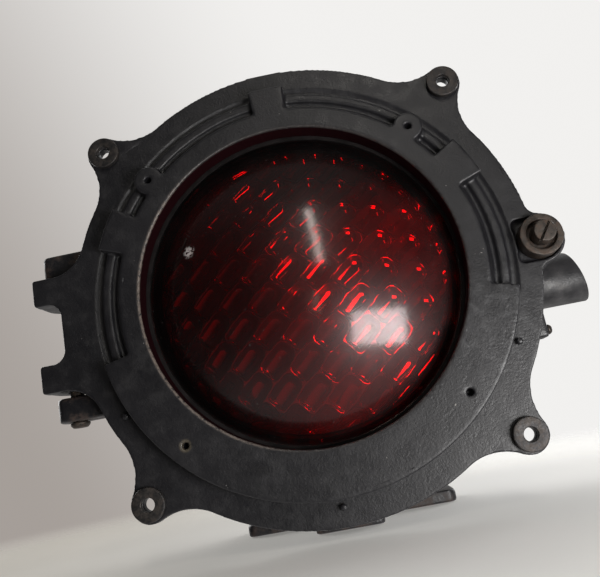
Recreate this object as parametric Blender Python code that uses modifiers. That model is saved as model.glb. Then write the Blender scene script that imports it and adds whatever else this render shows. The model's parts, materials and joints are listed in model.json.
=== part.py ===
"""Cast railway signal lamp head with a hinged front door and a domed red lens.

Lamp frame: x to the right, y up and z forward, with its origin where the optical axis crosses the
front face of the door's flange. LAMP turns that frame into the world, where +Z is up, the lamp faces
-Y, and the origin is on the sole of the base, under the optical axis. All sizes are in metres.
"""

import math

import bmesh
import bpy
from mathutils import Matrix, Vector

# Where the lamp frame stands in the world.
AXIS_HEIGHT = 0.156  # optical axis above the sole of the base
FACE_TO_ORIGIN = 0.100  # door face in front of the origin
LAMP = Matrix.Translation((0, -FACE_TO_ORIGIN, AXIS_HEIGHT)) @ Matrix.Rotation(math.pi / 2, 4, "X")

GAP = 0.0003  # clearance between pieces that touch

# Door casting.
BORE_R = 0.102  # lens opening
FLANGE_R = 0.150
FLANGE_T = 0.008
RING_H = 0.013  # raised ring above the flange face
RING_INNER_R = 0.1157  # narrow part of the raised ring, over the upper half
RING_OUTER_R = 0.1327  # wide part of the raised ring, and the pads
RING_END = 12.3  # the wide part starts this many degrees below the horizontal
LEDGE_R = 0.1283
LEDGE_H = 0.007
GROOVE_INNER_R = 0.1188  # narrow groove between the raised ring and the ledge's rib
GROOVE_OUTER_R = 0.1224
GROOVE_H = 0.0045
CHANNEL_R = 0.134
CHANNEL_DEPTH = 0.0015
PADS = ((26.5, 6.1), (90.0, 5.2), (153.5, 6.3))  # middle and half width, in degrees
HOOD_HOLE_R = 0.0021
HOOD_PCR = 0.1214  # radius of the circle of hood screw holes
HOOD_BOSS_R = 0.0095
SEAT_R = 0.107  # counterbore behind the bore, for the lens and its seals
SEAT_Z = -0.003
SEAT_BOSS_R = 0.124
SEAT_BOSS_Z = -0.016

# Ears that carry a backboard.
EAR_SPREAD = 0.116  # ear hole from the axis, sideways and upwards
EAR_R = 0.0122
EAR_FILLET = 0.033
EAR_HOLE_R = 0.0040
SPACER_R = 0.0105
SPACER_T = 0.004

# Hinge, on the left.
HINGE_X = -0.162
HINGE_Z = -0.022
PIN_R = 0.0046
KNUCKLE_X = -0.1763  # outer edge of the door's knuckles
KNUCKLE_LOW = 0.0195
KNUCKLE_TOP = 0.038
KNUCKLE_INSET = 0.0004  # casting draft between the plate's edge and the knuckle behind it
BRIDGE_X = -0.1589  # edge of the door between its knuckles
HINGE_FILLET = 0.024
LUG_LOW = 0.0405
LUG_TOP = 0.057
LUG_R = 0.0128
LUG_FRONT_Z = -0.0125

# Latch, on the right.
LATCH_X = 0.151
LATCH_LUG_R = 0.0165
LATCH_FILLET = 0.008
POCKET_X = 0.1366  # left side of the sunk seat that the collar turns in
POCKET_R = 0.0138
POCKET_DEPTH = 0.0035
COLLAR_R = 0.0133
COLLAR_TOP = 0.008
SCREW_R = 0.0046
SCREW_HEAD_R = 0.0067
SCREW_HEAD_TOP = 0.0165
SCREW_TIP = -0.036
SLOT_ANGLE = 55.0
KEEPER_Z = -0.0244  # front of the lug that the latch screw enters
KEEPER_BACK = -0.040

# Lens.
LENS_RIM_R = 0.105
LENS_DOME_R = 0.0995  # radius where the dome leaves the rim
LENS_APEX = 0.028
LENS_RIM_Z = -0.0053
LENS_RIM_T = 0.005
LENS_T = 0.006

# Rear housing.
RIM_R = 0.141
RIM_BORE_R = 0.126
RIM_Z = -0.0116
RIM_BACK = -0.022
SHELL_BACK = -0.156
FLOOR_Z = -0.148  # inner face of the back wall
WALL = 0.006

# Base.
SOLE_Y = -AXIS_HEIGHT
BASE_T = 0.009
STEM_HALF = 0.023
STEM_FRONT = -0.040
FOOT_HALF = 0.0765
FOOT_FRONT = -0.091
FOOT_BACK = -0.133
FOOT_HOLE_X = 0.060
BASE_HOLE_R = 0.0055

# Side tube, on the right.
TUBE_R = 0.018
TUBE_BORE_R = 0.0155
TUBE_Y = -0.019
TUBE_Z = -0.060
TUBE_END = 0.1855
TUBE_SLANT = 0.25  # the lower lip stands out this much per unit of height

ROUND = 60  # segments of a large circle
SMALL = 24  # segments of a small one


def clear_scene():
    for obj in list(bpy.data.objects):
        bpy.data.objects.remove(obj)


def new_collection(name):
    found = bpy.data.collections.new(name)
    bpy.context.scene.collection.children.link(found)
    return found


def material(name, colour, roughness, metallic, transmission=0.0):
    made = bpy.data.materials.new(name)
    made.use_nodes = True
    made.diffuse_color = (*colour, 1.0)
    shader = made.node_tree.nodes["Principled BSDF"]
    shader.inputs["Base Color"].default_value = (*colour, 1.0)
    shader.inputs["Roughness"].default_value = roughness
    shader.inputs["Metallic"].default_value = metallic
    shader.inputs["Transmission Weight"].default_value = transmission
    return made


def place(obj, spot=(0, 0, 0), turn=None, parent=None):
    """Stands an object at a spot of the lamp frame, turned by a matrix, under a parent empty."""
    world = LAMP @ Matrix.Translation(spot)
    if turn is not None:
        world = world @ turn
    obj.matrix_world = world
    if parent is not None:
        obj.parent = parent
        obj.matrix_parent_inverse = parent.matrix_world.inverted()
        obj.matrix_world = world
    return obj


def pivot(name, spot):
    empty = bpy.data.objects.new(name, None)
    empty.empty_display_size = 0.02
    PIECES.objects.link(empty)
    place(empty, spot)
    bpy.context.view_layer.update()
    return empty


def piece(name, mesh, look, parent, spot=(0, 0, 0), turn=None):
    """A named part of the lamp. mesh is a mesh, or the object of a shape made by another helper."""
    if isinstance(mesh, bpy.types.Mesh):
        obj = bpy.data.objects.new(name, mesh)
        PIECES.objects.link(obj)
    else:
        obj = mesh
        obj.name = name
        CUTTERS.objects.unlink(obj)
        PIECES.objects.link(obj)
        obj.hide_render = False
        obj.display_type = "TEXTURED"
    obj.data.materials.clear()
    obj.data.materials.append(look)
    place(obj, spot, turn, parent)
    return obj


def helper(name, mesh, spot=(0, 0, 0), turn=None):
    """A shape that is only joined to a part or cut from it."""
    obj = bpy.data.objects.new(name, mesh)
    CUTTERS.objects.link(obj)
    obj.hide_render = True
    obj.display_type = "WIRE"
    place(obj, spot, turn)
    return obj


def combine(obj, other, operation):
    step = obj.modifiers.new(f"{operation.lower()}_{other.name}", "BOOLEAN")
    step.operation = operation
    step.solver = "EXACT"
    step.object = other


def join(obj, *others):
    for other in others:
        combine(obj, other, "UNION")


def cut(obj, *others):
    for other in others:
        combine(obj, other, "DIFFERENCE")


def arc(cx, cy, radius, start, end, steps):
    """Points of an arc in a plane, both ends included. Angles are in degrees."""
    found = []
    for i in range(steps + 1):
        a = math.radians(start + (end - start) * i / steps)
        found.append((cx + radius * math.cos(a), cy + radius * math.sin(a)))
    return found


def circle(cx, cy, radius, steps=SMALL):
    return arc(cx, cy, radius, 0, 360, steps)[:-1]


def sector(inner, outer, start, end, steps):
    """Outline of part of an annulus."""
    return arc(0, 0, outer, start, end, steps) + arc(0, 0, inner, end, start, steps)


def rounded_box(x0, y0, x1, y1, radius):
    corners = ((x1 - radius, y0 + radius, -90), (x1 - radius, y1 - radius, 0))
    corners += ((x0 + radius, y1 - radius, 90), (x0 + radius, y0 + radius, 180))
    return [point for cx, cy, a in corners for point in arc(cx, cy, radius, a, a + 90, 3)]


def turned_points(points, angle):
    a = math.radians(angle)
    c, s = math.cos(a), math.sin(a)
    return [(x * c - y * s, x * s + y * c) for x, y in points]


def plate_mesh(name, outlines, low, high):
    """A flat solid between two heights. The first outline is its edge, and the others are holes."""
    curve = bpy.data.curves.new(name, "CURVE")
    curve.dimensions = "2D"
    curve.fill_mode = "BOTH"
    curve.extrude = (high - low) / 2
    for outline in outlines:
        spline = curve.splines.new("POLY")
        spline.points.add(len(outline) - 1)
        spline.use_cyclic_u = True
        for point, (x, y) in zip(spline.points, outline):
            point.co = (x, y, 0, 1)
    source = bpy.data.objects.new(name + "_outline", curve)
    CUTTERS.objects.link(source)
    bpy.context.view_layer.update()
    graph = bpy.context.evaluated_depsgraph_get()
    mesh = bpy.data.meshes.new_from_object(source.evaluated_get(graph))
    bpy.data.objects.remove(source)
    bm = bmesh.new()
    bm.from_mesh(mesh)
    bmesh.ops.remove_doubles(bm, verts=bm.verts, dist=1e-6)
    bmesh.ops.recalc_face_normals(bm, faces=bm.faces)
    bmesh.ops.translate(bm, verts=bm.verts, vec=(0, 0, (low + high) / 2))
    bm.to_mesh(mesh)
    bm.free()
    return mesh


def rod_mesh(name, radius, low, high, segments=SMALL):
    """A plain cylinder along z between two heights."""
    bm = bmesh.new()
    bmesh.ops.create_cone(
        bm, cap_ends=True, segments=segments, radius1=radius, radius2=radius, depth=high - low
    )
    bmesh.ops.translate(bm, verts=bm.verts, vec=(0, 0, (low + high) / 2))
    mesh = bpy.data.meshes.new(name)
    bm.to_mesh(mesh)
    bm.free()
    return mesh


def box_mesh(name, low, high):
    """A box between two corners."""
    low, high = Vector(low), Vector(high)
    bm = bmesh.new()
    bmesh.ops.create_cube(bm, size=1)
    bmesh.ops.scale(bm, verts=bm.verts, vec=high - low)
    bmesh.ops.translate(bm, verts=bm.verts, vec=(low + high) / 2)
    mesh = bpy.data.meshes.new(name)
    bm.to_mesh(mesh)
    bm.free()
    return mesh


def turned(name, profile, steps=ROUND, closed=True):
    """A solid turned about z. The profile of (radius, z) points runs down its outer side; a closed
    one is a ring, and an open one starts and ends on the axis."""
    mesh = bpy.data.meshes.new(name)
    count = len(profile)
    edges = [(i, i + 1) for i in range(count - 1)]
    if closed:
        edges.append((count - 1, 0))
    mesh.from_pydata([(radius, 0, z) for radius, z in profile], edges, [])
    obj = helper(name, mesh)
    screw = obj.modifiers.new("turn", "SCREW")
    screw.angle = math.tau
    screw.steps = steps
    screw.render_steps = steps
    screw.use_merge_vertices = True
    screw.merge_threshold = 0.00005
    return obj


def ring_profile(inner, outer, low, high, edge=0.0):
    """Section of a ring, with its outer corners chamfered by edge."""
    if edge == 0.0:
        return [(outer, high), (outer, low), (inner, low), (inner, high)]
    return [
        (outer - edge, high),
        (outer, high - edge),
        (outer, low + edge),
        (outer - edge, low),
        (inner, low),
        (inner, high),
    ]


def around(radius, angle):
    a = math.radians(angle)
    return radius * math.cos(a), radius * math.sin(a)


def facing(axis):
    """Turns a shape's own z towards x or towards -y."""
    if axis == "x":
        return Matrix.Rotation(math.pi / 2, 4, "Y")
    return Matrix.Rotation(math.pi / 2, 4, "X")


def laid_plate(name, outlines, low, high):
    """A flat solid between two heights along y, from outlines drawn in x and z."""
    return helper(name, plate_mesh(name, outlines, -high, -low), turn=facing("y"))


# ---------------------------------------------------------------- door


def round_lug(angle, distance, radius, fillet, steps):
    """Edge of a round lug on the flange, from the flange on one side to the flange on the other."""
    reach = FLANGE_R + fillet
    side = radius + fillet
    cosine = (reach**2 + distance**2 - side**2) / (2 * reach * distance)
    half = math.degrees(math.acos(cosine))
    fx, fy = around(reach, -half)
    towards = math.degrees(math.atan2(-fy, distance - fx))
    lower = arc(fx, fy, fillet, 180 - half, towards, 7)
    tip = arc(distance, 0, radius, towards - 180, 180 - towards, steps)
    upper = [(x, -y) for x, y in reversed(lower)]
    return half, turned_points(lower + tip[1:-1] + upper, angle)


def hinge_edge():
    """Upper half of the door's edge at the hinge, from the flange to the middle of the bridge."""
    fy = KNUCKLE_TOP + HINGE_FILLET
    fx = -math.sqrt((FLANGE_R + HINGE_FILLET) ** 2 - fy**2)
    start = math.degrees(math.atan2(-fy, -fx))
    corner = 0.0022
    inner = 0.008
    edge = arc(fx, fy, HINGE_FILLET, start, -90, 8)
    edge += arc(KNUCKLE_X + corner, KNUCKLE_TOP - corner, corner, 90, 180, 3)
    edge += arc(KNUCKLE_X + corner, KNUCKLE_LOW + corner, corner, 180, 270, 3)
    edge += arc(BRIDGE_X - inner, KNUCKLE_LOW - inner, inner, 90, 0, 6)
    half = 180 - math.degrees(math.atan2(fy, fx))
    return half, edge


def door_outline():
    """The door's edge, counter-clockwise from the latch lug."""
    ear_distance = math.hypot(EAR_SPREAD, EAR_SPREAD)
    latch_half, latch = round_lug(0, LATCH_X, LATCH_LUG_R, LATCH_FILLET, 12)
    hinge_half, upper_hinge = hinge_edge()
    lower_hinge = [(x, -y) for x, y in reversed(upper_hinge)]
    lugs = [(0, latch_half, latch)]
    for angle in (45, 135):
        half, ear = round_lug(angle, ear_distance, EAR_R, EAR_FILLET, 12)
        lugs.append((angle, half, ear))
    lugs.append((180, hinge_half, upper_hinge + lower_hinge))
    for angle in (225, 315):
        half, ear = round_lug(angle, ear_distance, EAR_R, EAR_FILLET, 12)
        lugs.append((angle, half, ear))
    edge = []
    for i, (angle, half, points) in enumerate(lugs):
        following, next_half, _ = lugs[(i + 1) % len(lugs)]
        if following == 0:
            following = 360
        start, end = angle + half, following - next_half
        steps = max(2, round((end - start) / 5))
        edge += points
        edge += arc(0, 0, FLANGE_R, start, end, steps)[1:-1]
    return edge


def ear_spots():
    return [(sx * EAR_SPREAD, sy * EAR_SPREAD) for sx, sy in ((1, 1), (-1, 1), (-1, -1), (1, -1))]


def relief_outline():
    """Outer edge of the raised ring: narrow with pads and bosses above, and wide below."""
    cosine = (RING_INNER_R**2 + HOOD_PCR**2 - HOOD_BOSS_R**2) / (2 * RING_INNER_R * HOOD_PCR)
    boss_half = math.degrees(math.acos(cosine))
    rx, ry = around(RING_INNER_R, -boss_half)
    boss_start = math.degrees(math.atan2(ry, rx - HOOD_PCR))
    boss = arc(HOOD_PCR, 0, HOOD_BOSS_R, boss_start, -boss_start, 12)[1:-1]
    bumps = [(middle, half, "pad") for middle, half in PADS]
    bumps += [(angle, boss_half, "boss") for angle in (45, 135)]
    edge = []
    angle = -RING_END
    for middle, half, kind in sorted(bumps):
        edge += arc(0, 0, RING_INNER_R, angle, middle - half, 5)
        if kind == "pad":
            edge += arc(0, 0, RING_OUTER_R, middle - half, middle + half, 3)
        else:
            edge += turned_points(boss, middle)
        angle = middle + half
    edge += arc(0, 0, RING_INNER_R, angle, 180 + RING_END, 5)
    edge += arc(0, 0, RING_OUTER_R, 180 + RING_END, 360 - RING_END, 30)
    return edge


def knuckle(side):
    """Half-round body behind the plate, round the hinge pin, above the axis or below it."""
    radius = HINGE_X - KNUCKLE_X - KNUCKLE_INSET
    edge = [(HINGE_X + radius, -0.002), (HINGE_X - radius, -0.002)]
    edge += arc(HINGE_X, HINGE_Z, radius, 180, 360, 12)
    low, high = sorted((side * (KNUCKLE_LOW + KNUCKLE_INSET), side * (KNUCKLE_TOP - KNUCKLE_INSET)))
    return laid_plate("knuckle", [edge], low, high)


def make_door(hinge):
    holes = [circle(0, 0, BORE_R, ROUND)]
    holes += [circle(x, y, EAR_HOLE_R, 16) for x, y in ear_spots()]
    holes.append(circle(LATCH_X, 0, SCREW_R + 0.0009))
    door = piece("door_casting", plate_mesh("door", [door_outline()] + holes, -FLANGE_T, 0), CAST, hinge)
    span = (-RING_END - 1.2, 180 + RING_END + 1.2)
    floor = sector(RING_INNER_R + 0.002, CHANNEL_R, *span, 34)
    channel = plate_mesh("channel", [floor], -CHANNEL_DEPTH, 0.003)
    cut(door, helper("channel_cutter", channel))
    ledge = plate_mesh("ledge", [sector(BORE_R + 0.006, LEDGE_R, *span, 34)], -0.005, LEDGE_H)
    join(door, helper("ledge", ledge))
    groove = plate_mesh("groove", [sector(GROOVE_INNER_R, GROOVE_OUTER_R, *span, 34)], GROOVE_H, RING_H)
    cut(door, helper("groove_cutter", groove))
    relief = plate_mesh("relief", [relief_outline(), circle(0, 0, BORE_R, ROUND)], -0.004, RING_H)
    join(door, helper("raised_ring", relief))
    join(door, turned("seat_boss", ring_profile(BORE_R, SEAT_BOSS_R, SEAT_BOSS_Z, -0.006, 0.001)))
    cut(door, helper("seat_cutter", rod_mesh("seat", SEAT_R, -0.03, SEAT_Z, ROUND)))
    corner = 0.003
    pocket = arc(LATCH_X, 0, POCKET_R, -90, 90, 13)
    pocket += arc(POCKET_X + corner, POCKET_R - corner, corner, 90, 180, 3)
    pocket += arc(POCKET_X + corner, corner - POCKET_R, corner, 180, 270, 3)
    cut(door, helper("pocket_cutter", plate_mesh("pocket", [pocket], -POCKET_DEPTH, 0.01)))
    for side in (1, -1):
        join(door, knuckle(side))
    bore = rod_mesh("knuckle_bore", PIN_R + 0.0005, -0.05, 0.05)
    cut(door, helper("knuckle_bore_cutter", bore, (HINGE_X, 0, HINGE_Z), facing("y")))
    for i, angle in enumerate((45, 135, 225, 315)):
        x, y = around(HOOD_PCR, angle)
        drill = rod_mesh("hood_drill", HOOD_HOLE_R, 0.001, RING_H + 0.004, 12)
        cut(door, helper(f"hood_drill_{i}", drill, (x, y, 0)))
    for i in range(6):
        x, y = around(0.114, 30 + 60 * i)
        drill = rod_mesh("clamp_drill", 0.0022, -0.03, -0.007, 10)
        cut(door, helper(f"clamp_drill_{i}", drill, (x, y, 0)))
    return door


def make_spacers(hinge):
    for name, (x, y) in zip(("top_right", "top_left", "bottom_left", "bottom_right"), ear_spots()):
        profile = ring_profile(EAR_HOLE_R + 0.0002, SPACER_R, GAP, SPACER_T, 0.0005)
        piece(f"ear_spacer_{name}", turned("spacer", profile, 18), STEEL, hinge, (x, y, 0))


def make_hood_pegs(hinge):
    for name, angle in (("right", -26.4), ("bottom", -90.0), ("left", -153.6)):
        x, y = around(0.1375, angle)
        profile = [(0, 0.0042), (0.0014, 0.0038), (0.0022, 0.0028), (0.0022, GAP), (0, GAP)]
        piece(f"hood_peg_{name}", turned("peg", profile, 12, closed=False), CAST, hinge, (x, y, 0))


def make_lens(hinge):
    def dome(radius, apex, foot, steps):
        """Points of a spherical cap from its middle down to its edge."""
        rise = apex - foot
        ball = (radius**2 + rise**2) / (2 * rise)
        found = []
        for i in range(steps + 1):
            r = radius * i / steps
            found.append((r, apex - ball + math.sqrt(ball**2 - r**2)))
        return found

    back = LENS_RIM_Z - LENS_RIM_T
    profile = dome(LENS_DOME_R, LENS_APEX, LENS_RIM_Z, 9)
    profile += [(LENS_RIM_R, LENS_RIM_Z), (LENS_RIM_R, back)]
    profile += reversed(dome(LENS_DOME_R - LENS_T, LENS_APEX - LENS_T, back, 7))
    piece("lens", turned("dome", profile, 40, closed=False), RED_GLASS, hinge)
    front = ring_profile(LENS_DOME_R + 0.001, SEAT_R - GAP, LENS_RIM_Z + GAP, SEAT_Z - GAP)
    piece("lens_front_seal", turned("front_seal", front, 48), RUBBER, hinge)
    rear = ring_profile(0.096, SEAT_R - GAP, SEAT_BOSS_Z, back - GAP)
    piece("lens_rear_seal", turned("rear_seal", rear, 48), RUBBER, hinge)


def make_clamp_ring(hinge):
    top = SEAT_BOSS_Z - GAP
    low = top - 0.0025
    holes = [circle(0, 0, 0.094, 60)]
    holes += [circle(*around(0.114, 30 + 60 * i), 0.0023, 12) for i in range(6)]
    edge = circle(0, 0, 0.120, 60)
    piece("lens_clamp_ring", plate_mesh("clamp_ring", [edge] + holes, low, top), BRASS, hinge)
    head = low - GAP
    for i in range(6):
        x, y = around(0.114, 30 + 60 * i)
        profile = [(0, -0.009), (0.0018, -0.009), (0.0018, head), (0.0036, head)]
        profile += [(0.0036, head - 0.0012), (0.0028, head - 0.002), (0, head - 0.002)]
        screw = turned("clamp_screw", profile, 12, closed=False)
        piece(f"clamp_screw_{i + 1}", screw, BRASS, hinge, (x, y, 0))


# ---------------------------------------------------------------- latch


def make_latch(latch):
    seat = -POCKET_DEPTH + GAP
    edge = 0.0007
    profile = [(COLLAR_R - edge, COLLAR_TOP), (COLLAR_R, COLLAR_TOP - edge), (COLLAR_R, seat + edge)]
    profile += [(COLLAR_R - edge, seat), (SCREW_R + 0.0006, seat), (SCREW_R + 0.0006, 0.004)]
    profile += [(0.0092, 0.004), (0.0092, COLLAR_TOP - 0.0005), (0.0097, COLLAR_TOP)]
    spot = (LATCH_X, 0, 0)
    piece("latch_collar", turned("collar", profile, 28), STEEL, latch, spot)
    top = SCREW_HEAD_TOP
    profile = [(0, top), (SCREW_HEAD_R - 0.0008, top), (SCREW_HEAD_R, top - 0.0008)]
    profile += [(SCREW_HEAD_R, 0.0043), (SCREW_R, 0.0043), (SCREW_R, SCREW_TIP + 0.0015)]
    profile += [(SCREW_R - 0.0012, SCREW_TIP), (0, SCREW_TIP)]
    screw = piece("latch_screw", turned("screw", profile, 28, closed=False), STEEL, latch, spot)
    slot = box_mesh("slot", (-0.01, -0.0008, top - 0.0028), (0.01, 0.0008, top + 0.002))
    cut(screw, helper("slot_cutter", slot, spot, Matrix.Rotation(math.radians(SLOT_ANGLE), 4, "Z")))
    clip = ring_profile(SCREW_R + GAP, 0.0078, -0.0225, -0.021)
    piece("latch_retaining_clip", turned("clip", clip, 20), STEEL, latch, spot)


# ---------------------------------------------------------------- housing


def shell_profile(inset, front, back):
    """Outer side of the bowl at some inset, from its front to its back, ending on the axis."""
    outer = [(0.136, -0.026), (0.131, -0.070), (0.119, -0.118), (0.108, -0.142), (0.098, back)]
    points = [(radius - inset, z) for radius, z in outer if z > back] + [(outer[-1][0] - inset, back)]
    return front + points + [(0, back)]


def make_housing(lamp):
    front = [(0, RIM_Z), (RIM_R - 0.001, RIM_Z), (RIM_R, RIM_Z - 0.001), (RIM_R, RIM_BACK)]
    shell = turned("shell", shell_profile(0, front, SHELL_BACK), ROUND, False)
    housing = piece("rear_housing", shell, CAST, lamp)
    for side in (1, -1):
        low, high = sorted((side * LUG_LOW, side * LUG_TOP))
        arm = box_mesh("arm", (HINGE_X, low, HINGE_Z - LUG_R + 0.0003), (-0.120, high, LUG_FRONT_Z))
        join(housing, helper(f"hinge_arm_{side}", arm))
        barrel = rod_mesh("barrel", LUG_R, -(LUG_TOP - LUG_LOW) / 2, (LUG_TOP - LUG_LOW) / 2, 28)
        middle = (HINGE_X, (low + high) / 2, HINGE_Z)
        join(housing, helper(f"hinge_barrel_{side}", barrel, middle, facing("y")))
    keeper = [(0.110, -0.0596), (0.1497, -0.0596), (0.1497, -LATCH_LUG_R)]
    keeper += arc(LATCH_X, 0, LATCH_LUG_R, -80, 90, 12) + [(0.110, LATCH_LUG_R)]
    join(housing, helper("keeper", plate_mesh("keeper", [keeper], KEEPER_BACK, KEEPER_Z)))
    boss = rod_mesh("tube_boss", TUBE_R + 0.0045, 0.095, 0.150, 36)
    join(housing, helper("tube_boss", boss, (0, TUBE_Y, TUBE_Z), facing("x")))
    make_base(housing)
    front = [(0, 0), (RIM_BORE_R, 0), (RIM_BORE_R, RIM_BACK - 0.001)]
    cavity = turned("cavity", shell_profile(WALL, front, FLOOR_Z), ROUND, False)
    cut(housing, cavity)
    bores = [("tube_bore", TUBE_R + GAP, 0.080, 0.160, 36, (0, TUBE_Y, TUBE_Z), "x")]
    bores.append(("earth_bore", 0.0024, 0.138, 0.160, 12, (0, -0.0545, -0.031), "x"))
    bores.append(("pin_bore", PIN_R + GAP, -0.07, 0.07, 24, (HINGE_X, 0, HINGE_Z), "y"))
    for name, radius, low, high, segments, spot, axis in bores:
        cut(housing, helper(name, rod_mesh(name, radius, low, high, segments), spot, facing(axis)))
    tapped = rod_mesh("latch_bore", SCREW_R + 0.0010, -0.06, 0, 24)
    cut(housing, helper("latch_bore", tapped, (LATCH_X, 0, 0)))
    for i, (x, y) in enumerate(bracket_spots() + block_spots()):
        hole = rod_mesh("tapping", 0.0022, FLOOR_Z - 0.005, FLOOR_Z + 0.01, 12)
        cut(housing, helper(f"tapping_{i}", hole, (x, y, 0)))
    return housing


def make_base(housing):
    """T-shaped base plate on two crossed webs, with three bolt holes."""
    edge = [(STEM_HALF, STEM_FRONT - 0.004), (STEM_HALF, FOOT_FRONT)]
    corner = 0.006
    edge.append((FOOT_HALF - corner, FOOT_FRONT))
    edge += arc(FOOT_HALF - corner, FOOT_FRONT - corner, corner, 90, 0, 3)[1:]
    edge += arc(FOOT_HALF - corner, FOOT_BACK + corner, corner, 0, -90, 3)
    tip = arc(STEM_HALF - 0.004, STEM_FRONT - 0.004, 0.004, 90, 0, 3)
    half = tip + edge[1:]
    outline = half + [(-x, z) for x, z in reversed(half)]
    holes = [circle(0, STEM_FRONT - 0.0095, BASE_HOLE_R - 0.001, 16)]
    holes += [circle(side * FOOT_HOLE_X, (FOOT_FRONT + FOOT_BACK) / 2, BASE_HOLE_R, 16) for side in (1, -1)]
    join(housing, laid_plate("base", [outline] + holes, SOLE_Y, SOLE_Y + BASE_T))
    stem = box_mesh("stem_web", (-0.016, SOLE_Y + 0.002, -0.125), (0.016, -0.110, -0.062))
    join(housing, helper("stem_web", stem))
    middle = (FOOT_FRONT + FOOT_BACK) / 2
    rear = box_mesh("rear_web", (-0.044, SOLE_Y + 0.003, middle - 0.007), (0.044, -0.096, middle + 0.007))
    join(housing, helper("rear_web", rear))


def make_gasket(lamp):
    profile = ring_profile(RIM_BORE_R + 0.001, RIM_R - 0.001, RIM_Z + GAP, -FLANGE_T - GAP)
    piece("door_gasket", turned("gasket", profile, 48), RUBBER, lamp)


def make_side_tube(lamp):
    spot = (0, TUBE_Y, TUBE_Z)
    tube = piece("side_tube", rod_mesh("tube", TUBE_R, 0.100, 0.200, 36), CAST, lamp, spot, facing("x"))
    cut(tube, helper("tube_hollow", rod_mesh("tube_hollow", TUBE_BORE_R, 0.09, 0.21, 36), spot, facing("x")))
    lean = Matrix.Rotation(math.atan(TUBE_SLANT), 4, "Z")
    trim = box_mesh("trim", (0, -0.05, -0.05), (0.05, 0.05, 0.05))
    cut(tube, helper("tube_trim", trim, (TUBE_END, TUBE_Y, TUBE_Z), lean))
    profile = [(TUBE_BORE_R - GAP, 0.152), (TUBE_BORE_R - GAP, 0.138), (0.0055, 0.138), (0.0055, 0.152)]
    piece("cable_grommet", turned("grommet", profile, 24), RUBBER, lamp, spot, facing("x"))


def make_hinge_pins(lamp):
    top = LUG_TOP + 0.0006
    profile = [(0, top), (PIN_R - 0.0006, top), (PIN_R, top - 0.0006), (PIN_R, 0.0185), (0, 0.0185)]
    up = facing("y") @ Matrix.Rotation(math.pi, 4, "X")
    spot = (HINGE_X, 0, HINGE_Z)
    piece("hinge_pin_upper", turned("pin_upper", profile, 24, closed=False), STEEL, lamp, spot, up)
    head = LUG_TOP + GAP
    profile = [(0, head + 0.0036), (0.0045, head + 0.0034), (0.0064, head + 0.0018), (0.0064, head)]
    profile += [(PIN_R, head), (PIN_R, 0.0185), (0, 0.0185)]
    piece("hinge_pin_lower", turned("pin_lower", profile, 24, closed=False), STEEL, lamp, spot, facing("y"))


def make_earth_screw(lamp):
    face = 0.1497 + GAP
    profile = [(0, face + 0.0032), (0.0022, face + 0.0029), (0.0034, face + 0.0016), (0.0034, face)]
    profile += [(0.002, face), (0.002, 0.1405), (0, 0.1405)]
    spot = (0, -0.0545, -0.031)
    piece("earth_screw", turned("earth", profile, 14, closed=False), BRASS, lamp, spot, facing("x"))


# ---------------------------------------------------------------- lamp holder, inside the housing


def bracket_spots():
    return [(-0.013, 0.017), (0.013, 0.017)]


def block_spots():
    return [(-0.034, -0.066), (0.034, -0.066)]


def back_screws(name, spots, under, look, lamp):
    for side, (x, y) in zip(("left", "right"), spots):
        profile = [(0, under + 0.0022), (0.0026, under + 0.0022), (0.0034, under + 0.0012), (0.0034, under)]
        profile += [(0.0018, under), (0.0018, FLOOR_Z - 0.004), (0, FLOOR_Z - 0.004)]
        piece(f"{name}_{side}", turned("back_screw", profile, 12, closed=False), look, lamp, (x, y, 0))


def make_bracket(lamp):
    """Bent strip: a leg on the back wall, an arm forwards and a leg up round the lamp socket."""
    t = 0.0025
    wall = FLOOR_Z + GAP
    low = -0.026
    holes = [circle(x, y, 0.0022, 12) for x, y in bracket_spots()]
    leg = plate_mesh("leg", [rounded_box(-0.020, low, 0.020, 0.026, 0.004)] + holes, wall, wall + t)
    bracket = piece("lamp_bracket", leg, STEEL, lamp)
    arm = box_mesh("arm_bar", (-0.011, low, wall + 0.001), (0.011, low + t, -0.0955))
    join(bracket, helper("arm_bar", arm))
    front = [rounded_box(-0.019, low + 0.0006, 0.019, 0.019, 0.004), circle(0, 0, 0.0125)]
    join(bracket, helper("front_leg", plate_mesh("front_leg", front, -0.098, -0.0958)))
    back_screws("bracket_screw", bracket_spots(), wall + t + GAP, STEEL, lamp)


def make_socket(lamp):
    profile = [(0.0118, -0.0830), (0.0118, -0.0920), (0.0165, -0.0920), (0.0165, -0.0955)]
    profile += [(0.0120, -0.0955), (0.0120, -0.1220), (0.0080, -0.1220), (0.0080, -0.0830)]
    piece("lamp_socket", turned("socket", profile, 24), BRASS, lamp)
    core = [(0, -0.1110), (0.0077, -0.1110), (0.0077, -0.1240), (0, -0.1240)]
    piece("socket_insulator", turned("insulator", core, 24, closed=False), BAKELITE, lamp)


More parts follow.
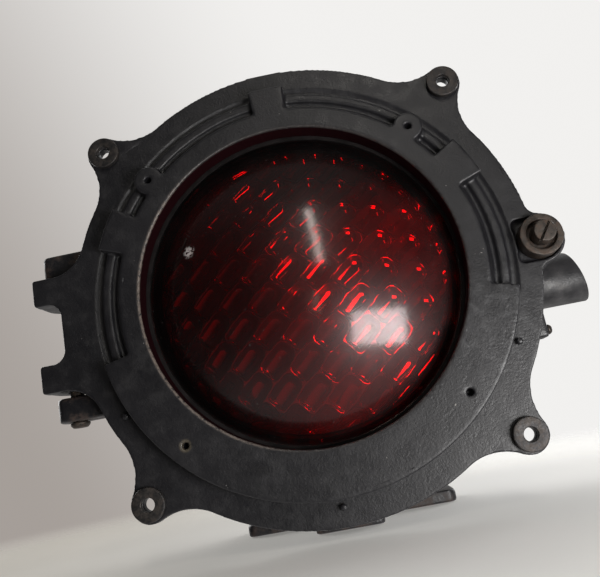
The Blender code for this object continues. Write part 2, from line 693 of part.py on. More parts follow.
def make_bulb(lamp):
    profile = [(0, -0.1000), (0.0062, -0.1000), (0.0062, -0.0800), (0.0076, -0.0800)]
    profile += [(0.0076, -0.1090), (0.0055, -0.1107), (0, -0.1107)]
    piece("bulb_cap", turned("cap", profile, 24, closed=False), BRASS, lamp)
    wall = 0.0008
    neck = 0.0056
    ball = 0.0150
    middle = -0.0580
    outside = []
    inside = []
    for i in range(10):
        a = math.radians(90 - 150 * i / 9)
        outside.append((ball * math.cos(a), middle + ball * math.sin(a)))
        inside.append(((ball - wall) * math.cos(a), middle + (ball - wall) * math.sin(a)))
    outside[0] = (0, middle + ball)
    inside[0] = (0, middle + ball - wall)
    profile = outside + [(neck, -0.0790), (neck, -0.0900), (neck - wall, -0.0900), (neck - wall, -0.0790)]
    profile += reversed(inside)
    piece("bulb_glass", turned("glass", profile, 20, closed=False), CLEAR_GLASS, lamp)
    stem = [(0, -0.0700), (0.0012, -0.0712), (0.0020, -0.0980), (0, -0.0980)]
    piece("bulb_stem", turned("stem", stem, 12, closed=False), CLEAR_GLASS, lamp)


def make_terminals(lamp):
    """Moulded block on the back wall, with a screw for each end of the wiring."""
    wall = FLOOR_Z + GAP
    low, high = -0.078, -0.056
    holes = [circle(x, y, 0.0022, 12) for x, y in block_spots()]
    foot = plate_mesh("foot", [rounded_box(-0.040, low, 0.040, high, 0.003)] + holes, wall, wall + 0.005)
    block = piece("terminal_block", foot, BAKELITE, lamp)
    body = rounded_box(-0.028, low + 0.001, 0.028, high - 0.001, 0.002)
    join(block, helper("block_body", plate_mesh("block_body", [body], wall + 0.002, -0.1315)))
    back_screws("block_screw", block_spots(), wall + 0.005 + GAP, BRASS, lamp)
    for i in range(4):
        x = -0.021 + 0.014 * i
        spot = (x, -0.067, 0)
        cut(block, helper(f"terminal_drill_{i}", rod_mesh("terminal_drill", 0.0019, -0.139, -0.12, 10), spot))
        head = -0.1315 + GAP
        profile = [(0, head + 0.002), (0.0026, head + 0.002), (0.0032, head + 0.0012), (0.0032, head)]
        profile += [(0.0015, head), (0.0015, -0.137), (0, -0.137)]
        piece(f"terminal_screw_{i + 1}", turned("terminal", profile, 12, closed=False), BRASS, lamp, spot)


def make_wires(lamp):
    """Two insulated wires from the top of the terminal block to the back of the socket."""
    radius = 0.0013
    for name, side in (("left", -1), ("right", 1)):
        route = [(0.014, -0.0552, -0.1375), (0.0150, -0.047, -0.1370), (0.0170, -0.036, -0.1355)]
        route += [(0.0175, -0.024, -0.1335), (0.0160, -0.012, -0.1315), (0.0115, -0.004, -0.1295)]
        route += [(0.0065, -0.0005, -0.1275), (0.0040, 0.0, -0.1257)]
        curve = bpy.data.curves.new(f"wire_{name}", "CURVE")
        curve.dimensions = "3D"
        curve.bevel_depth = radius
        curve.bevel_resolution = 2
        curve.use_fill_caps = True
        spline = curve.splines.new("POLY")
        spline.points.add(len(route) - 1)
        for point, (x, y, z) in zip(spline.points, route):
            point.co = (side * x, y, z, 1)
        obj = bpy.data.objects.new(f"lamp_wire_{name}", curve)
        PIECES.objects.link(obj)
        curve.materials.append(INSULATION)
        place(obj, parent=lamp)


clear_scene()
PIECES = new_collection("signal_lamp")
CUTTERS = new_collection("cutters")
CAST = material("cast_black_paint", (0.032, 0.033, 0.036), 0.5, 0.0)
STEEL = material("worn_steel", (0.18, 0.155, 0.135), 0.5, 0.8)
BRASS = material("brass", (0.55, 0.40, 0.17), 0.35, 1.0)
RUBBER = material("rubber", (0.02, 0.02, 0.02), 0.8, 0.0)
BAKELITE = material("bakelite", (0.06, 0.03, 0.02), 0.4, 0.0)
INSULATION = material("insulation", (0.12, 0.02, 0.02), 0.5, 0.0)
RED_GLASS = material("red_glass", (0.25, 0.0, 0.008), 0.05, 0.0, 1.0)
CLEAR_GLASS = material("clear_glass", (0.9, 0.9, 0.9), 0.02, 0.0, 1.0)

LAMP_BASE = pivot("lamp_base", (0, SOLE_Y, -FACE_TO_ORIGIN))
DOOR_HINGE = pivot("door_hinge", (HINGE_X, 0, HINGE_Z))
LATCH = pivot("latch_axis", (LATCH_X, 0, 0))

make_housing(LAMP_BASE)
make_gasket(LAMP_BASE)
make_side_tube(LAMP_BASE)
make_hinge_pins(LAMP_BASE)
make_earth_screw(LAMP_BASE)
make_bracket(LAMP_BASE)
make_socket(LAMP_BASE)
make_bulb(LAMP_BASE)
make_terminals(LAMP_BASE)
make_wires(LAMP_BASE)
make_door(DOOR_HINGE)
make_spacers(DOOR_HINGE)
make_hood_pegs(DOOR_HINGE)
make_lens(DOOR_HINGE)
make_clamp_ring(DOOR_HINGE)
make_latch(LATCH)
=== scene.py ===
"""Looks of a cast railway signal lamp head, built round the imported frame.

Shapes are drawn in the lamp frame (x to the right, y up, z forward, its origin where the optical axis
crosses the front face of the door's flange) and then stood in the world by LAMP. Sizes are in metres.
"""

import json
import math

import bmesh
import bpy
from mathutils import Matrix, Vector, noise
from mathutils.geometry import tessellate_polygon


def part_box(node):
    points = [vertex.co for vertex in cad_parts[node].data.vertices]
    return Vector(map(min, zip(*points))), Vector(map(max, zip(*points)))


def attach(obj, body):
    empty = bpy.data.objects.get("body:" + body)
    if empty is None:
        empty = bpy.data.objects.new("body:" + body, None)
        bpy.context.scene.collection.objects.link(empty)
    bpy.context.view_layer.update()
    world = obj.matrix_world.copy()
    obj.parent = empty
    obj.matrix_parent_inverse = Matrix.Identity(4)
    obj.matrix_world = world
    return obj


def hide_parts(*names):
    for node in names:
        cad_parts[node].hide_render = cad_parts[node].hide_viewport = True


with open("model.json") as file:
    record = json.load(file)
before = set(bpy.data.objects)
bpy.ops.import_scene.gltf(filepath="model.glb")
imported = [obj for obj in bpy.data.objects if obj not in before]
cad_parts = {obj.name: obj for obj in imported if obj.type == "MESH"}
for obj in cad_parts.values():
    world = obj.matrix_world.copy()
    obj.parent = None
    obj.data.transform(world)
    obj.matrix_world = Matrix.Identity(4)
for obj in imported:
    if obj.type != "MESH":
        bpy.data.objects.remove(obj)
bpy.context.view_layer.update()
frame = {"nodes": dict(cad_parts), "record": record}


def middle(node):
    low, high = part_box(node)
    return (low + high) / 2


def half_size(node):
    low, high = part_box(node)
    return (high - low) / 2


# ---------------------------------------------------------------- sizes, from the frame where it holds them

AXIS_HEIGHT = middle("lens").z
SEAT_GAP = 0.0003
FACE_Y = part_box("ear_spacer_top_left")[1].y + SEAT_GAP
LAMP = Matrix.Translation((0, FACE_Y, AXIS_HEIGHT)) @ Matrix.Rotation(math.pi / 2, 4, "X")

FLANGE_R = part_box("door_casting")[1].z - AXIS_HEIGHT
FLANGE_T = 0.008
RING_H = FACE_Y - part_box("door_casting")[0].y
BORE_R = 0.102
RING_INNER_R = 0.1157
RING_OUTER_R = 0.1327
RING_END = 12.3
LEDGE_R = 0.1283
LEDGE_H = 0.007
GROOVE_INNER_R = 0.1188
GROOVE_OUTER_R = 0.1224
GROOVE_H = 0.0045
CHANNEL_R = 0.134
CHANNEL_DEPTH = 0.0015
PADS = ((26.5, 6.1), (90.0, 5.2), (153.5, 6.3))
HOOD_HOLE_R = 0.0021
HOOD_PCR = 0.1214
HOOD_BOSS_R = 0.0095
SEAT_R = 0.107
SEAT_Z = -0.003
SEAT_BOSS_R = 0.124
SEAT_BOSS_Z = -0.016
CLAMP_PCR = 0.114
CLAMP_DRILL_R = 0.0022

EAR_SPREAD = middle("ear_spacer_top_right").x
EAR_R = 0.0122
EAR_FILLET = 0.033
EAR_HOLE_R = 0.0040

HINGE_X = middle("hinge_pin_upper").x
HINGE_Z = FACE_Y - middle("hinge_pin_upper").y
PIN_R = half_size("hinge_pin_upper").x
KNUCKLE_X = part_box("door_casting")[0].x
KNUCKLE_LOW = 0.0195
KNUCKLE_TOP = 0.038
KNUCKLE_INSET = 0.0004
BRIDGE_X = -0.1589
HINGE_FILLET = 0.024
LUG_LOW = 0.0405
LUG_TOP = 0.057
LUG_R = 0.0128
LUG_FRONT_Z = -0.0125

LATCH_X = middle("latch_collar").x
LATCH_LUG_R = 0.0165
LATCH_FILLET = 0.008
POCKET_X = 0.1366
POCKET_R = 0.0138
POCKET_DEPTH = 0.0035
SCREW_R = 0.0046
KEEPER_Z = -0.0244
KEEPER_BACK = -0.040

LENS_RIM_R = half_size("lens").x
LENS_DOME_R = 0.0995
LENS_APEX = FACE_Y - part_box("lens")[0].y
LENS_RIM_Z = -0.0053
LENS_BACK = FACE_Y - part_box("lens")[1].y
LENS_T = 0.006
BAR_TILT = 39.4  # the moulded bars' long axis above the horizontal, in degrees
BAR_PITCH = 0.0231
BAR_ROW = 0.0145
BAR_DEPTH = 0.0033
BAR_SOFT_END = 0.0070
BAR_SHARP_END = 0.0026

RIM_R = 0.141
RIM_BORE_R = 0.126
RIM_Z = -0.0116
RIM_BACK = -0.022
SHELL_BACK = FACE_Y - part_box("rear_housing")[1].y
FLOOR_Z = SHELL_BACK + 0.008
WALL = 0.006
SOLE_Y = -AXIS_HEIGHT
BASE_T = 0.009
STEM_HALF = 0.023
STEM_FRONT = -0.044
FOOT_HALF = 0.0765
FOOT_FRONT = -0.091
FOOT_BACK = -0.133
FOOT_HOLE_X = 0.060
BASE_HOLE_R = 0.0055

TUBE_R = half_size("side_tube").z
TUBE_BORE_R = 0.0155
TUBE_Y = middle("side_tube").z - AXIS_HEIGHT
TUBE_Z = FACE_Y - middle("side_tube").y
TUBE_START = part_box("side_tube")[0].x
TUBE_SLANT = 0.25
TUBE_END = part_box("side_tube")[1].x - TUBE_SLANT * TUBE_R

EARTH_Y = middle("earth_screw").z - AXIS_HEIGHT
EARTH_Z = FACE_Y - middle("earth_screw").y

FINE = 180  # segments of a large circle
TURNED = 72  # segments of a small turned piece


# ---------------------------------------------------------------- outlines and shells


def arc(cx, cy, radius, start, end, steps):
    """Points of an arc in a plane, both ends included. Angles are in degrees."""
    found = []
    for i in range(steps + 1):
        a = math.radians(start + (end - start) * i / steps)
        found.append((cx + radius * math.cos(a), cy + radius * math.sin(a)))
    return found


def circle(cx, cy, radius, steps=32):
    return arc(cx, cy, radius, 0, 360, steps)[:-1]


def sector(inner, outer, start, end, steps):
    return arc(0, 0, outer, start, end, steps) + arc(0, 0, inner, end, start, steps)


def around(radius, angle):
    a = math.radians(angle)
    return radius * math.cos(a), radius * math.sin(a)


def turned_points(points, angle):
    a = math.radians(angle)
    c, s = math.cos(a), math.sin(a)
    return [(x * c - y * s, x * s + y * c) for x, y in points]


def softened(points, radius, closed=True):
    """Rounds each corner of an outline with a short curve. A corner on the axis stays sharp."""
    found = []
    count = len(points)
    for i, point in enumerate(points):
        p = Vector(point)
        if not closed and i in (0, count - 1):
            found.append(tuple(p))
            continue
        before, after = Vector(points[i - 1]), Vector(points[(i + 1) % count])
        reach_in = min(radius, (before - p).length * 0.45)
        reach_out = min(radius, (after - p).length * 0.45)
        start = p + (before - p).normalized() * reach_in
        end = p + (after - p).normalized() * reach_out
        for t in (0, 0.25, 0.5, 0.75, 1):
            spot = start * (1 - t) ** 2 + p * 2 * t * (1 - t) + end * t * t
            found.append(tuple(spot))
    return found


def flowing(points, steps=6):
    """A smooth curve through all the points of an open outline."""
    found = [tuple(points[0])]
    for i in range(len(points) - 1):
        a, b = Vector(points[max(0, i - 1)]), Vector(points[i])
        c, d = Vector(points[i + 1]), Vector(points[min(len(points) - 1, i + 2)])
        for k in range(1, steps + 1):
            t = k / steps
            bend = (b * 2) + (c - a) * t + (a * 2 - b * 5 + c * 4 - d) * t**2 + (b * 3 - a - c * 3 + d) * t**3
            found.append(tuple(bend / 2))
    return found


def plate(outlines, low, high):
    """A flat solid between two heights, as (points, faces). The first outline is its edge, the rest holes."""
    flat = [point for outline in outlines for point in outline]
    count = len(flat)
    points = [(x, y, low) for x, y in flat] + [(x, y, high) for x, y in flat]
    faces = []
    for a, b, c in tessellate_polygon([[Vector((x, y, 0)) for x, y in outline] for outline in outlines]):
        faces.append((a, b, c))
        faces.append((c + count, b + count, a + count))
    first = 0
    for outline in outlines:
        size = len(outline)
        for i in range(size):
            a, b = first + i, first + (i + 1) % size
            faces.append((a, b, b + count, a + count))
        first += size
    return points, faces


def lathe(profile, steps=FINE, closed=True):
    """A solid turned about z. A closed profile makes a ring, and an open one starts and ends on the axis."""
    points, faces, rings = [], [], []
    for radius, z in profile:
        if radius < 1e-7:
            rings.append([len(points)] * steps)
            points.append((0, 0, z))
            continue
        first = len(points)
        rings.append(list(range(first, first + steps)))
        for i in range(steps):
            x, y = around(radius, 360 * i / steps)
            points.append((x, y, z))
    pairs = list(zip(rings, rings[1:]))
    if closed:
        pairs.append((rings[-1], rings[0]))
    for upper, lower in pairs:
        for i in range(steps):
            j = (i + 1) % steps
            face = (upper[i], lower[i], lower[j], upper[j])
            face = tuple(dict.fromkeys(face))
            if len(face) > 2:
                faces.append(face)
    return points, faces


def box(low, high):
    (x0, y0, z0), (x1, y1, z1) = low, high
    return plate([[(x0, y0), (x1, y0), (x1, y1), (x0, y1)]], z0, z1)


def moved(shell, matrix):
    points, faces = shell
    return [tuple(matrix @ Vector(p)) for p in points], faces


def laid(outlines, low, high):
    """A flat solid between two heights along y, from outlines drawn in x and z."""
    return moved(plate(outlines, -high, -low), Matrix.Rotation(math.pi / 2, 4, "X"))


def rod(radius, low, high, spot=(0, 0, 0), axis="z", steps=32):
    shell = plate([circle(0, 0, radius, steps)], low, high)
    turn = {"z": Matrix(), "x": Matrix.Rotation(math.pi / 2, 4, "Y"), "y": Matrix.Rotation(-math.pi / 2, 4, "X")}
    return moved(shell, Matrix.Translation(spot) @ turn[axis])


def mesh_object(name, shells):
    points, faces = [], []
    for shell_points, shell_faces in shells:
        first = len(points)
        points += shell_points
        faces += [tuple(i + first for i in face) for face in shell_faces]
    mesh = bpy.data.meshes.new(name)
    mesh.from_pydata(points, [], faces)
    bm = bmesh.new()
    bm.from_mesh(mesh)
    bmesh.ops.recalc_face_normals(bm, faces=bm.faces)
    bm.to_mesh(mesh)
    bm.free()
    obj = bpy.data.objects.new(name, mesh)
    bpy.context.scene.collection.objects.link(obj)
    return obj


def applied(obj):
    """Replaces an object's mesh with the one its modifiers make."""
    bpy.context.view_layer.update()
    graph = bpy.context.evaluated_depsgraph_get()
    mesh = bpy.data.meshes.new_from_object(obj.evaluated_get(graph))
    obj.modifiers.clear()
    obj.data = mesh
    return obj


def carved(shell, cutters):
    """A shell with other shells cut out of it."""
    obj = mesh_object("carved", [shell])
    tool = mesh_object("carving", cutters)
    step = obj.modifiers.new("cut", "BOOLEAN")
    step.operation = "DIFFERENCE"
    step.solver = "EXACT"
    step.object = tool
    applied(obj)
    points = [tuple(v.co) for v in obj.data.vertices]
    faces = [tuple(p.vertices) for p in obj.data.polygons]
    bpy.data.objects.remove(obj)
    bpy.data.objects.remove(tool)
    return points, faces


def stood(obj, matrix):
    """Moves a finished mesh into the world, so that its object stays at the origin."""
    obj.data.transform(matrix)
    obj.data.update()
    return obj


def cast(name, shells, grain, rounds):
    """Overlapping shells fused into one casting, with every corner rounded as a sand mould leaves it."""
    obj = mesh_object(name, shells)
    remesh = obj.modifiers.new("fuse", "REMESH")
    remesh.mode = "VOXEL"
    remesh.voxel_size = grain
    soften = obj.modifiers.new("soften", "SMOOTH")
    soften.factor = 0.5
    soften.iterations = rounds
    applied(obj)
    triangles = sum(len(polygon.vertices) - 2 for polygon in obj.data.polygons)
    if triangles > MOST_TRIANGLES:
        thin = obj.modifiers.new("thin", "DECIMATE")
        thin.ratio = MOST_TRIANGLES / triangles
        applied(obj)
    normals = [vertex.normal.copy() for vertex in obj.data.vertices]
    for vertex, normal in zip(obj.data.vertices, normals):
        sway = noise.noise(vertex.co * 55) * 0.00012 + noise.noise(vertex.co * 260) * 0.00005
        vertex.co += normal * (sway - CASTING_GIVE)
    obj.data.shade_smooth()
    return stood(obj, LAMP)


def finished(obj, body, slot, look, *nodes):
    """Gives a piece its material and its body, and hides the CAD nodes that it stands for; its slot is not used."""
    if not obj.data.materials:
        obj.data.materials.append(look)
    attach(obj, body)
    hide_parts(*nodes)
    return obj


# ---------------------------------------------------------------- material helpers


def new_tree(name):
    made = bpy.data.materials.new(name)
    made.use_nodes = True
    made.node_tree.nodes.clear()
    return made, made.node_tree


def node(tree, kind, inputs=None, **settings):
    made = tree.nodes.new("ShaderNode" + kind)
    for key, value in settings.items():
        setattr(made, key, value)
    for key, value in (inputs or {}).items():
        if isinstance(value, bpy.types.NodeSocket):
            tree.links.new(value, made.inputs[key])
        else:
            made.inputs[key].default_value = value
    return made


def place_in(tree):
    """Position on the piece at rest."""
    return node(tree, "TexCoord").outputs["Object"]


def grainy(tree, spot, scale, detail=3.0, roughness=0.55, stretch=None):
    if stretch:
        spot = node(tree, "Mapping", {"Vector": spot, "Scale": stretch}).outputs[0]
    made = node(tree, "TexNoise", {"Vector": spot, "Scale": scale, "Detail": detail, "Roughness": roughness})
    return made.outputs["Fac"]


def ramp(tree, value, low, high, start=0.0, end=1.0):
    """Takes low..high to start..end, smoothly and clamped."""
    inputs = {"Value": value, "From Min": low, "From Max": high, "To Min": start, "To Max": end}
    return node(tree, "MapRange", inputs, interpolation_type="SMOOTHSTEP").outputs[0]


def calc(tree, operation, a, b=0.0):
    return node(tree, "Math", {0: a, 1: b}, operation=operation).outputs[0]


def product(tree, *values):
    found = values[0]
    for value in values[1:]:
        found = calc(tree, "MULTIPLY", found, value)
    return found


def blend(tree, factor, first, second):
    made = node(tree, "Mix", data_type="RGBA")
    for socket, value in ((made.inputs[0], factor), (made.inputs[6], first), (made.inputs[7], second)):
        if isinstance(value, bpy.types.NodeSocket):
            tree.links.new(value, socket)
        elif isinstance(value, tuple):
            socket.default_value = (*value, 1.0)
        else:
            socket.default_value = value
    return made.outputs[2]


def bumped(tree, height, strength, distance, normal=None):
    inputs = {"Height": height, "Strength": strength, "Distance": distance}
    if normal is not None:
        inputs["Normal"] = normal
    return node(tree, "Bump", inputs).outputs[0]


def close(tree, shader):
    node(tree, "OutputMaterial", {"Surface": shader})


def near(tree, spot, centre, radius, soft):
    """1 inside a ball round a point of the lamp frame, fading to 0 over soft."""
    away = node(tree, "VectorMath", {0: spot, 1: LAMP @ Vector(centre)}, operation="DISTANCE").outputs["Value"]
    return ramp(tree, away, radius - soft, radius + soft, 1.0, 0.0)


def edge_wear(tree, low, high):
    point = node(tree, "NewGeometry").outputs["Pointiness"]
    return ramp(tree, point, low, high)


# ---------------------------------------------------------------- materials


def paint_look(name, features=None):
    """Satin black paint over cast iron: grain of the mould, worn edges and chips."""
    made, tree = new_tree(name)
    spot = place_in(tree)
    broad = grainy(tree, spot, 18, 2)
    mottle = grainy(tree, spot, 120, 5, 0.6)
    sand = grainy(tree, spot, 620, 3, 0.6)
    pores = grainy(tree, spot, 1500, 2)
    colour = blend(tree, ramp(tree, broad, 0.3, 0.7), (0.0070, 0.0068, 0.0084), (0.0110, 0.0106, 0.0126))
    colour = blend(tree, ramp(tree, mottle, 0.5, 0.75, 0.0, 0.5), colour, (0.021, 0.020, 0.022))
    rough = ramp(tree, mottle, 0.3, 0.7, 0.36, 0.50)
    patches = grainy(tree, spot, 75, 5, 0.65)
    corners = product(tree, edge_wear(tree, 0.515, 0.60), ramp(tree, patches, 0.36, 0.62))
    colour = blend(tree, product(tree, corners, 0.5), colour, (0.075, 0.073, 0.075))
    bare = product(tree, edge_wear(tree, 0.55, 0.63), ramp(tree, patches, 0.58, 0.68))
    chips = ramp(tree, grainy(tree, spot, 210, 4, 0.7), 0.715, 0.74)
    bare = calc(tree, "MAXIMUM", bare, product(tree, chips, 0.8))
    colour = blend(tree, bare, colour, (0.30, 0.285, 0.27))
    shine = 0.5
    if features:
        colour, rough, shine = features(tree, spot, colour, rough)
    height = calc(tree, "ADD", product(tree, sand, 1.0), product(tree, mottle, 1.3))
    height = calc(tree, "ADD", height, product(tree, pores, 0.35))
    height = calc(tree, "SUBTRACT", height, product(tree, bare, 0.6))
    normal = bumped(tree, height, 0.40, 0.0004)
    inputs = {"Base Color": colour, "Roughness": rough, "Normal": normal, "Specular IOR Level": shine}
    close(tree, node(tree, "BsdfPrincipled", inputs).outputs[0])
    return made


def lamp_axes(tree, spot):
    """Radius from the optical axis, angle round it in turns, and height above the flange face."""
    parts = node(tree, "SeparateXYZ", {0: spot})
    x = parts.outputs["X"]
    y = calc(tree, "SUBTRACT", parts.outputs["Z"], AXIS_HEIGHT)
    z = calc(tree, "SUBTRACT", FACE_Y, parts.outputs["Y"])
    radius = calc(tree, "SQRT", calc(tree, "ADD", product(tree, x, x), product(tree, y, y)))
    angle = calc(tree, "ARCTAN2", calc(tree, "MULTIPLY", y, -1.0), calc(tree, "MULTIPLY", x, -1.0))
    return x, y, z, radius, angle


def door_features(tree, spot, colour, rough):
    """Flaked paint along the bore, painted shade down its wall, a painted sheen over smoother paint on the ring's wide
    part, and a worn screw hole.
    """
    x, y, z, radius, angle = lamp_axes(tree, spot)
    flakes = grainy(tree, spot, 320, 4, 0.7)
    at_edge = ramp(tree, radius, BORE_R + 0.0006, BORE_R + 0.0022, 1.0, 0.0)
    high_up = ramp(tree, z, RING_H - 0.0035, RING_H - 0.0015)
    left_side = ramp(tree, calc(tree, "ABSOLUTE", calc(tree, "SUBTRACT", angle, 0.17)), 0.75, 1.25, 1.0, 0.16)
    line = product(tree, at_edge, high_up, left_side, ramp(tree, flakes, 0.34, 0.52))
    colour = blend(tree, line, colour, (0.125, 0.100, 0.085))
    # Painted shade: the bore's wall below its top edge is made dark, rough and without shine, where shade falls down
    # the bore.
    wall = ramp(tree, radius, BORE_R + 0.0004, BORE_R + 0.0016, 1.0, 0.0)
    inside = product(tree, wall, ramp(tree, z, RING_H - 0.0025, RING_H - 0.0012, 1.0, 0.0))
    colour = blend(tree, inside, colour, (0.011, 0.002, 0.003))
    rough = calc(tree, "ADD", rough, product(tree, inside, 0.3))
    hole = LAMP @ Vector((*around(HOOD_PCR, 225), RING_H))
    away = node(tree, "VectorMath", {0: spot, 1: hole}, operation="DISTANCE").outputs["Value"]
    worn = product(tree, ramp(tree, away, 0.0030, 0.0046, 1.0, 0.0), ramp(tree, flakes, 0.3, 0.5))
    colour = blend(tree, product(tree, worn, 0.7), colour, (0.085, 0.070, 0.048))
    # Painted sheen: the lighter colour on the wide lower right of the ring stands in for light falling there; the
    # paint there is also made smoother.
    painted_sheen_scuff = near(tree, spot, (0.113, -0.047, RING_H), 0.030, 0.016)
    painted_sheen_scuff = product(tree, painted_sheen_scuff, ramp(tree, grainy(tree, spot, 150, 5, 0.72), 0.47, 0.60))
    colour = blend(tree, product(tree, painted_sheen_scuff, 0.55), colour, (0.052, 0.052, 0.055))
    rough = calc(tree, "ADD", rough, product(tree, painted_sheen_scuff, -0.08))
    # The shine is lowered where the bore's wall carries its painted shade.
    return colour, rough, calc(tree, "SUBTRACT", 0.5, product(tree, inside, 0.46))


def housing_features(tree, spot, colour, rough):
    """Brown rust where rain runs over the hinge lugs and along the base."""
    x, y, z, radius, angle = lamp_axes(tree, spot)
    rust = ramp(tree, grainy(tree, spot, 60, 6, 0.7), 0.45, 0.62)
    hinge = ramp(tree, x, HINGE_X + 0.012, HINGE_X + 0.034, 1.0, 0.0)
    base = ramp(tree, y, SOLE_Y + 0.012, SOLE_Y + 0.03, 0.7, 0.0)
    where = product(tree, rust, calc(tree, "MAXIMUM", hinge, base))
    colour = blend(tree, product(tree, where, 0.75), colour, (0.060, 0.036, 0.026))
    rough = calc(tree, "ADD", rough, product(tree, where, 0.25))
    return colour, rough, 0.5


def steel_look(name, dark, light, rust, amount):
    """Dull steel with patches of brown rust and brighter rubbed edges."""
    made, tree = new_tree(name)
    spot = place_in(tree)
    broad = grainy(tree, spot, 160, 5, 0.6)
    fine = grainy(tree, spot, 900, 4, 0.6)
    colour = blend(tree, ramp(tree, broad, 0.3, 0.7), dark, light)
    stained = product(tree, ramp(tree, grainy(tree, spot, 260, 5, 0.7), 0.44, 0.6), amount)
    colour = blend(tree, stained, colour, rust)
    rubbed = product(tree, edge_wear(tree, 0.53, 0.62), ramp(tree, broad, 0.35, 0.6))
    colour = blend(tree, product(tree, rubbed, 0.7), colour, (0.20, 0.18, 0.165))
    metal = calc(tree, "SUBTRACT", 0.75, product(tree, stained, 0.6))
    rough = calc(tree, "ADD", ramp(tree, fine, 0.3, 0.7, 0.38, 0.55), product(tree, stained, 0.25))
    height = calc(tree, "ADD", fine, product(tree, broad, 0.8))
    inputs = {"Base Color": colour, "Roughness": rough, "Metallic": metal}
    inputs["Normal"] = bumped(tree, height, 0.5, 0.0003)
    close(tree, node(tree, "BsdfPrincipled", inputs).outputs[0])
    return made


def brass_look():
    made, tree = new_tree("brass")
    spot = place_in(tree)
    tarnish = grainy(tree, spot, 90, 5, 0.65)
    lines = grainy(tree, spot, 700, 2, 0.5, (1, 1, 8))
    colour = blend(tree, ramp(tree, tarnish, 0.35, 0.7), (0.50, 0.34, 0.13), (0.22, 0.14, 0.07))
    rough = ramp(tree, tarnish, 0.3, 0.7, 0.28, 0.52)
    inputs = {"Base Color": colour, "Roughness": rough, "Metallic": 1.0}
    inputs["Normal"] = bumped(tree, lines, 0.25, 0.0002)
    close(tree, node(tree, "BsdfPrincipled", inputs).outputs[0])
    return made


def moulded_look(name, first, second, rough, scale, bump, shine=0.5):
    """Rubber, phenolic or cable insulation: two close tones and a fine skin."""
    made, tree = new_tree(name)
    spot = place_in(tree)
    tone = grainy(tree, spot, scale, 4, 0.6)
    skin = grainy(tree, spot, scale * 9, 3)
    colour = blend(tree, ramp(tree, tone, 0.35, 0.65), first, second)
    gloss = ramp(tree, skin, 0.3, 0.7, rough - 0.06, rough + 0.08)
    inputs = {"Base Color": colour, "Roughness": gloss, "Specular IOR Level": shine}
    inputs["Normal"] = bumped(tree, skin, bump, 0.0002)
    close(tree, node(tree, "BsdfPrincipled", inputs).outputs[0])
    return made


def clear_glass_look():
    made, tree = new_tree("clear_glass")
    spot = place_in(tree)
    dust = ramp(tree, grainy(tree, spot, 300, 4), 0.45, 0.75, 0.02, 0.16)
    facing = node(tree, "Fresnel", {"IOR": 1.45}).outputs[0]
    shine = node(tree, "BsdfAnisotropic", {"Color": (0.95, 0.97, 1, 1), "Roughness": dust})
    through = node(tree, "BsdfTransparent", {"Color": (0.88, 0.90, 0.90, 1)})
    mixed = node(tree, "MixShader", {0: facing, 1: through.outputs[0], 2: shine.outputs[0]})
    close(tree, mixed.outputs[0])
    return made


def lens_front_look():
    """Polished ruby glass, seen through: clear shine, a hazy film with fine scratches, and dust."""
    made, tree = new_tree("ruby_front")
    spot = place_in(tree)
    film = grainy(tree, spot, 26, 5, 0.65)
    smear = grainy(tree, spot, 60, 4, 0.6, (1, 1, 0.25))
    hairs = grainy(tree, spot, 420, 3, 0.6, (1, 1, 0.05))
    normal = bumped(tree, hairs, 0.05, 0.0002, bumped(tree, film, 0.06, 0.0006))
    facing = node(tree, "Fresnel", {"IOR": 1.52, "Normal": normal}).outputs[0]
    white = (1, 1, 1, 1)
    sharp = node(tree, "BsdfAnisotropic", {"Color": white, "Roughness": 0.14, "Normal": normal})
    hazy = node(tree, "BsdfAnisotropic", {"Color": white, "Roughness": 0.42, "Normal": normal})
    share = calc(tree, "ADD", ramp(tree, film, 0.3, 0.7, 0.34, 0.50), ramp(tree, smear, 0.45, 0.7, 0.0, 0.14))
    gloss = node(tree, "MixShader", {0: share, 1: sharp.outputs[0], 2: hazy.outputs[0]})
    through = node(tree, "BsdfTransparent", {"Color": (0.62, 0.010, 0.022, 1)})
    glass = node(tree, "MixShader", {0: facing, 1: through.outputs[0], 2: gloss.outputs[0]})
    dust = node(tree, "BsdfDiffuse", {"Color": (0.55, 0.50, 0.50, 1), "Normal": normal})
    specks = ramp(tree, grainy(tree, spot, 480, 2), 0.71, 0.79, 0.0, 0.10)
    cover = calc(tree, "ADD", ramp(tree, film, 0.45, 0.75, 0.0006, 0.004), specks)
    nicks = near(tree, spot, CHIP_SPOT, 0.0034, 0.0020)
    nicks = product(tree, nicks, ramp(tree, grainy(tree, spot, 420, 2), 0.45, 0.50))
    cover = calc(tree, "MAXIMUM", cover, product(tree, nicks, 0.9))
    mixed = node(tree, "MixShader", {0: cover, 1: glass.outputs[0], 2: dust.outputs[0]})
    close(tree, mixed.outputs[0])
    return made


def lens_back_look():
    """The moulded side, seen through the ruby front: crisp glints on its bars over a soft glow in the glass.

    The glow comes back from the depth of the glass, so it hardly follows the bars.
    """
    made, tree = new_tree("ruby_back")
    spot = place_in(tree)
    depth = grainy(tree, spot, 22, 3)
    colour = blend(tree, ramp(tree, depth, 0.35, 0.65), (0.10, 0.004, 0.007), (0.17, 0.006, 0.014))
    rough = ramp(tree, grainy(tree, spot, 240, 3), 0.3, 0.7, 0.03, 0.08)
    shine = node(tree, "BsdfAnisotropic", {"Color": (1, 1, 1, 1), "Roughness": rough})
    surface = node(tree, "NewGeometry")
    towards = node(tree, "VectorMath", {0: surface.outputs["Incoming"], "Scale": 1.6}, operation="SCALE")
    summed = node(tree, "VectorMath", {0: surface.outputs["Normal"], 1: towards.outputs[0]}, operation="ADD")
    even = node(tree, "VectorMath", {0: summed.outputs[0]}, operation="NORMALIZE")
    body = node(tree, "BsdfDiffuse", {"Color": colour, "Normal": even.outputs[0]})
    mixed = node(tree, "MixShader", {0: 0.3, 1: body.outputs[0], 2: shine.outputs[0]})
    close(tree, mixed.outputs[0])
    return made


# ---------------------------------------------------------------- door


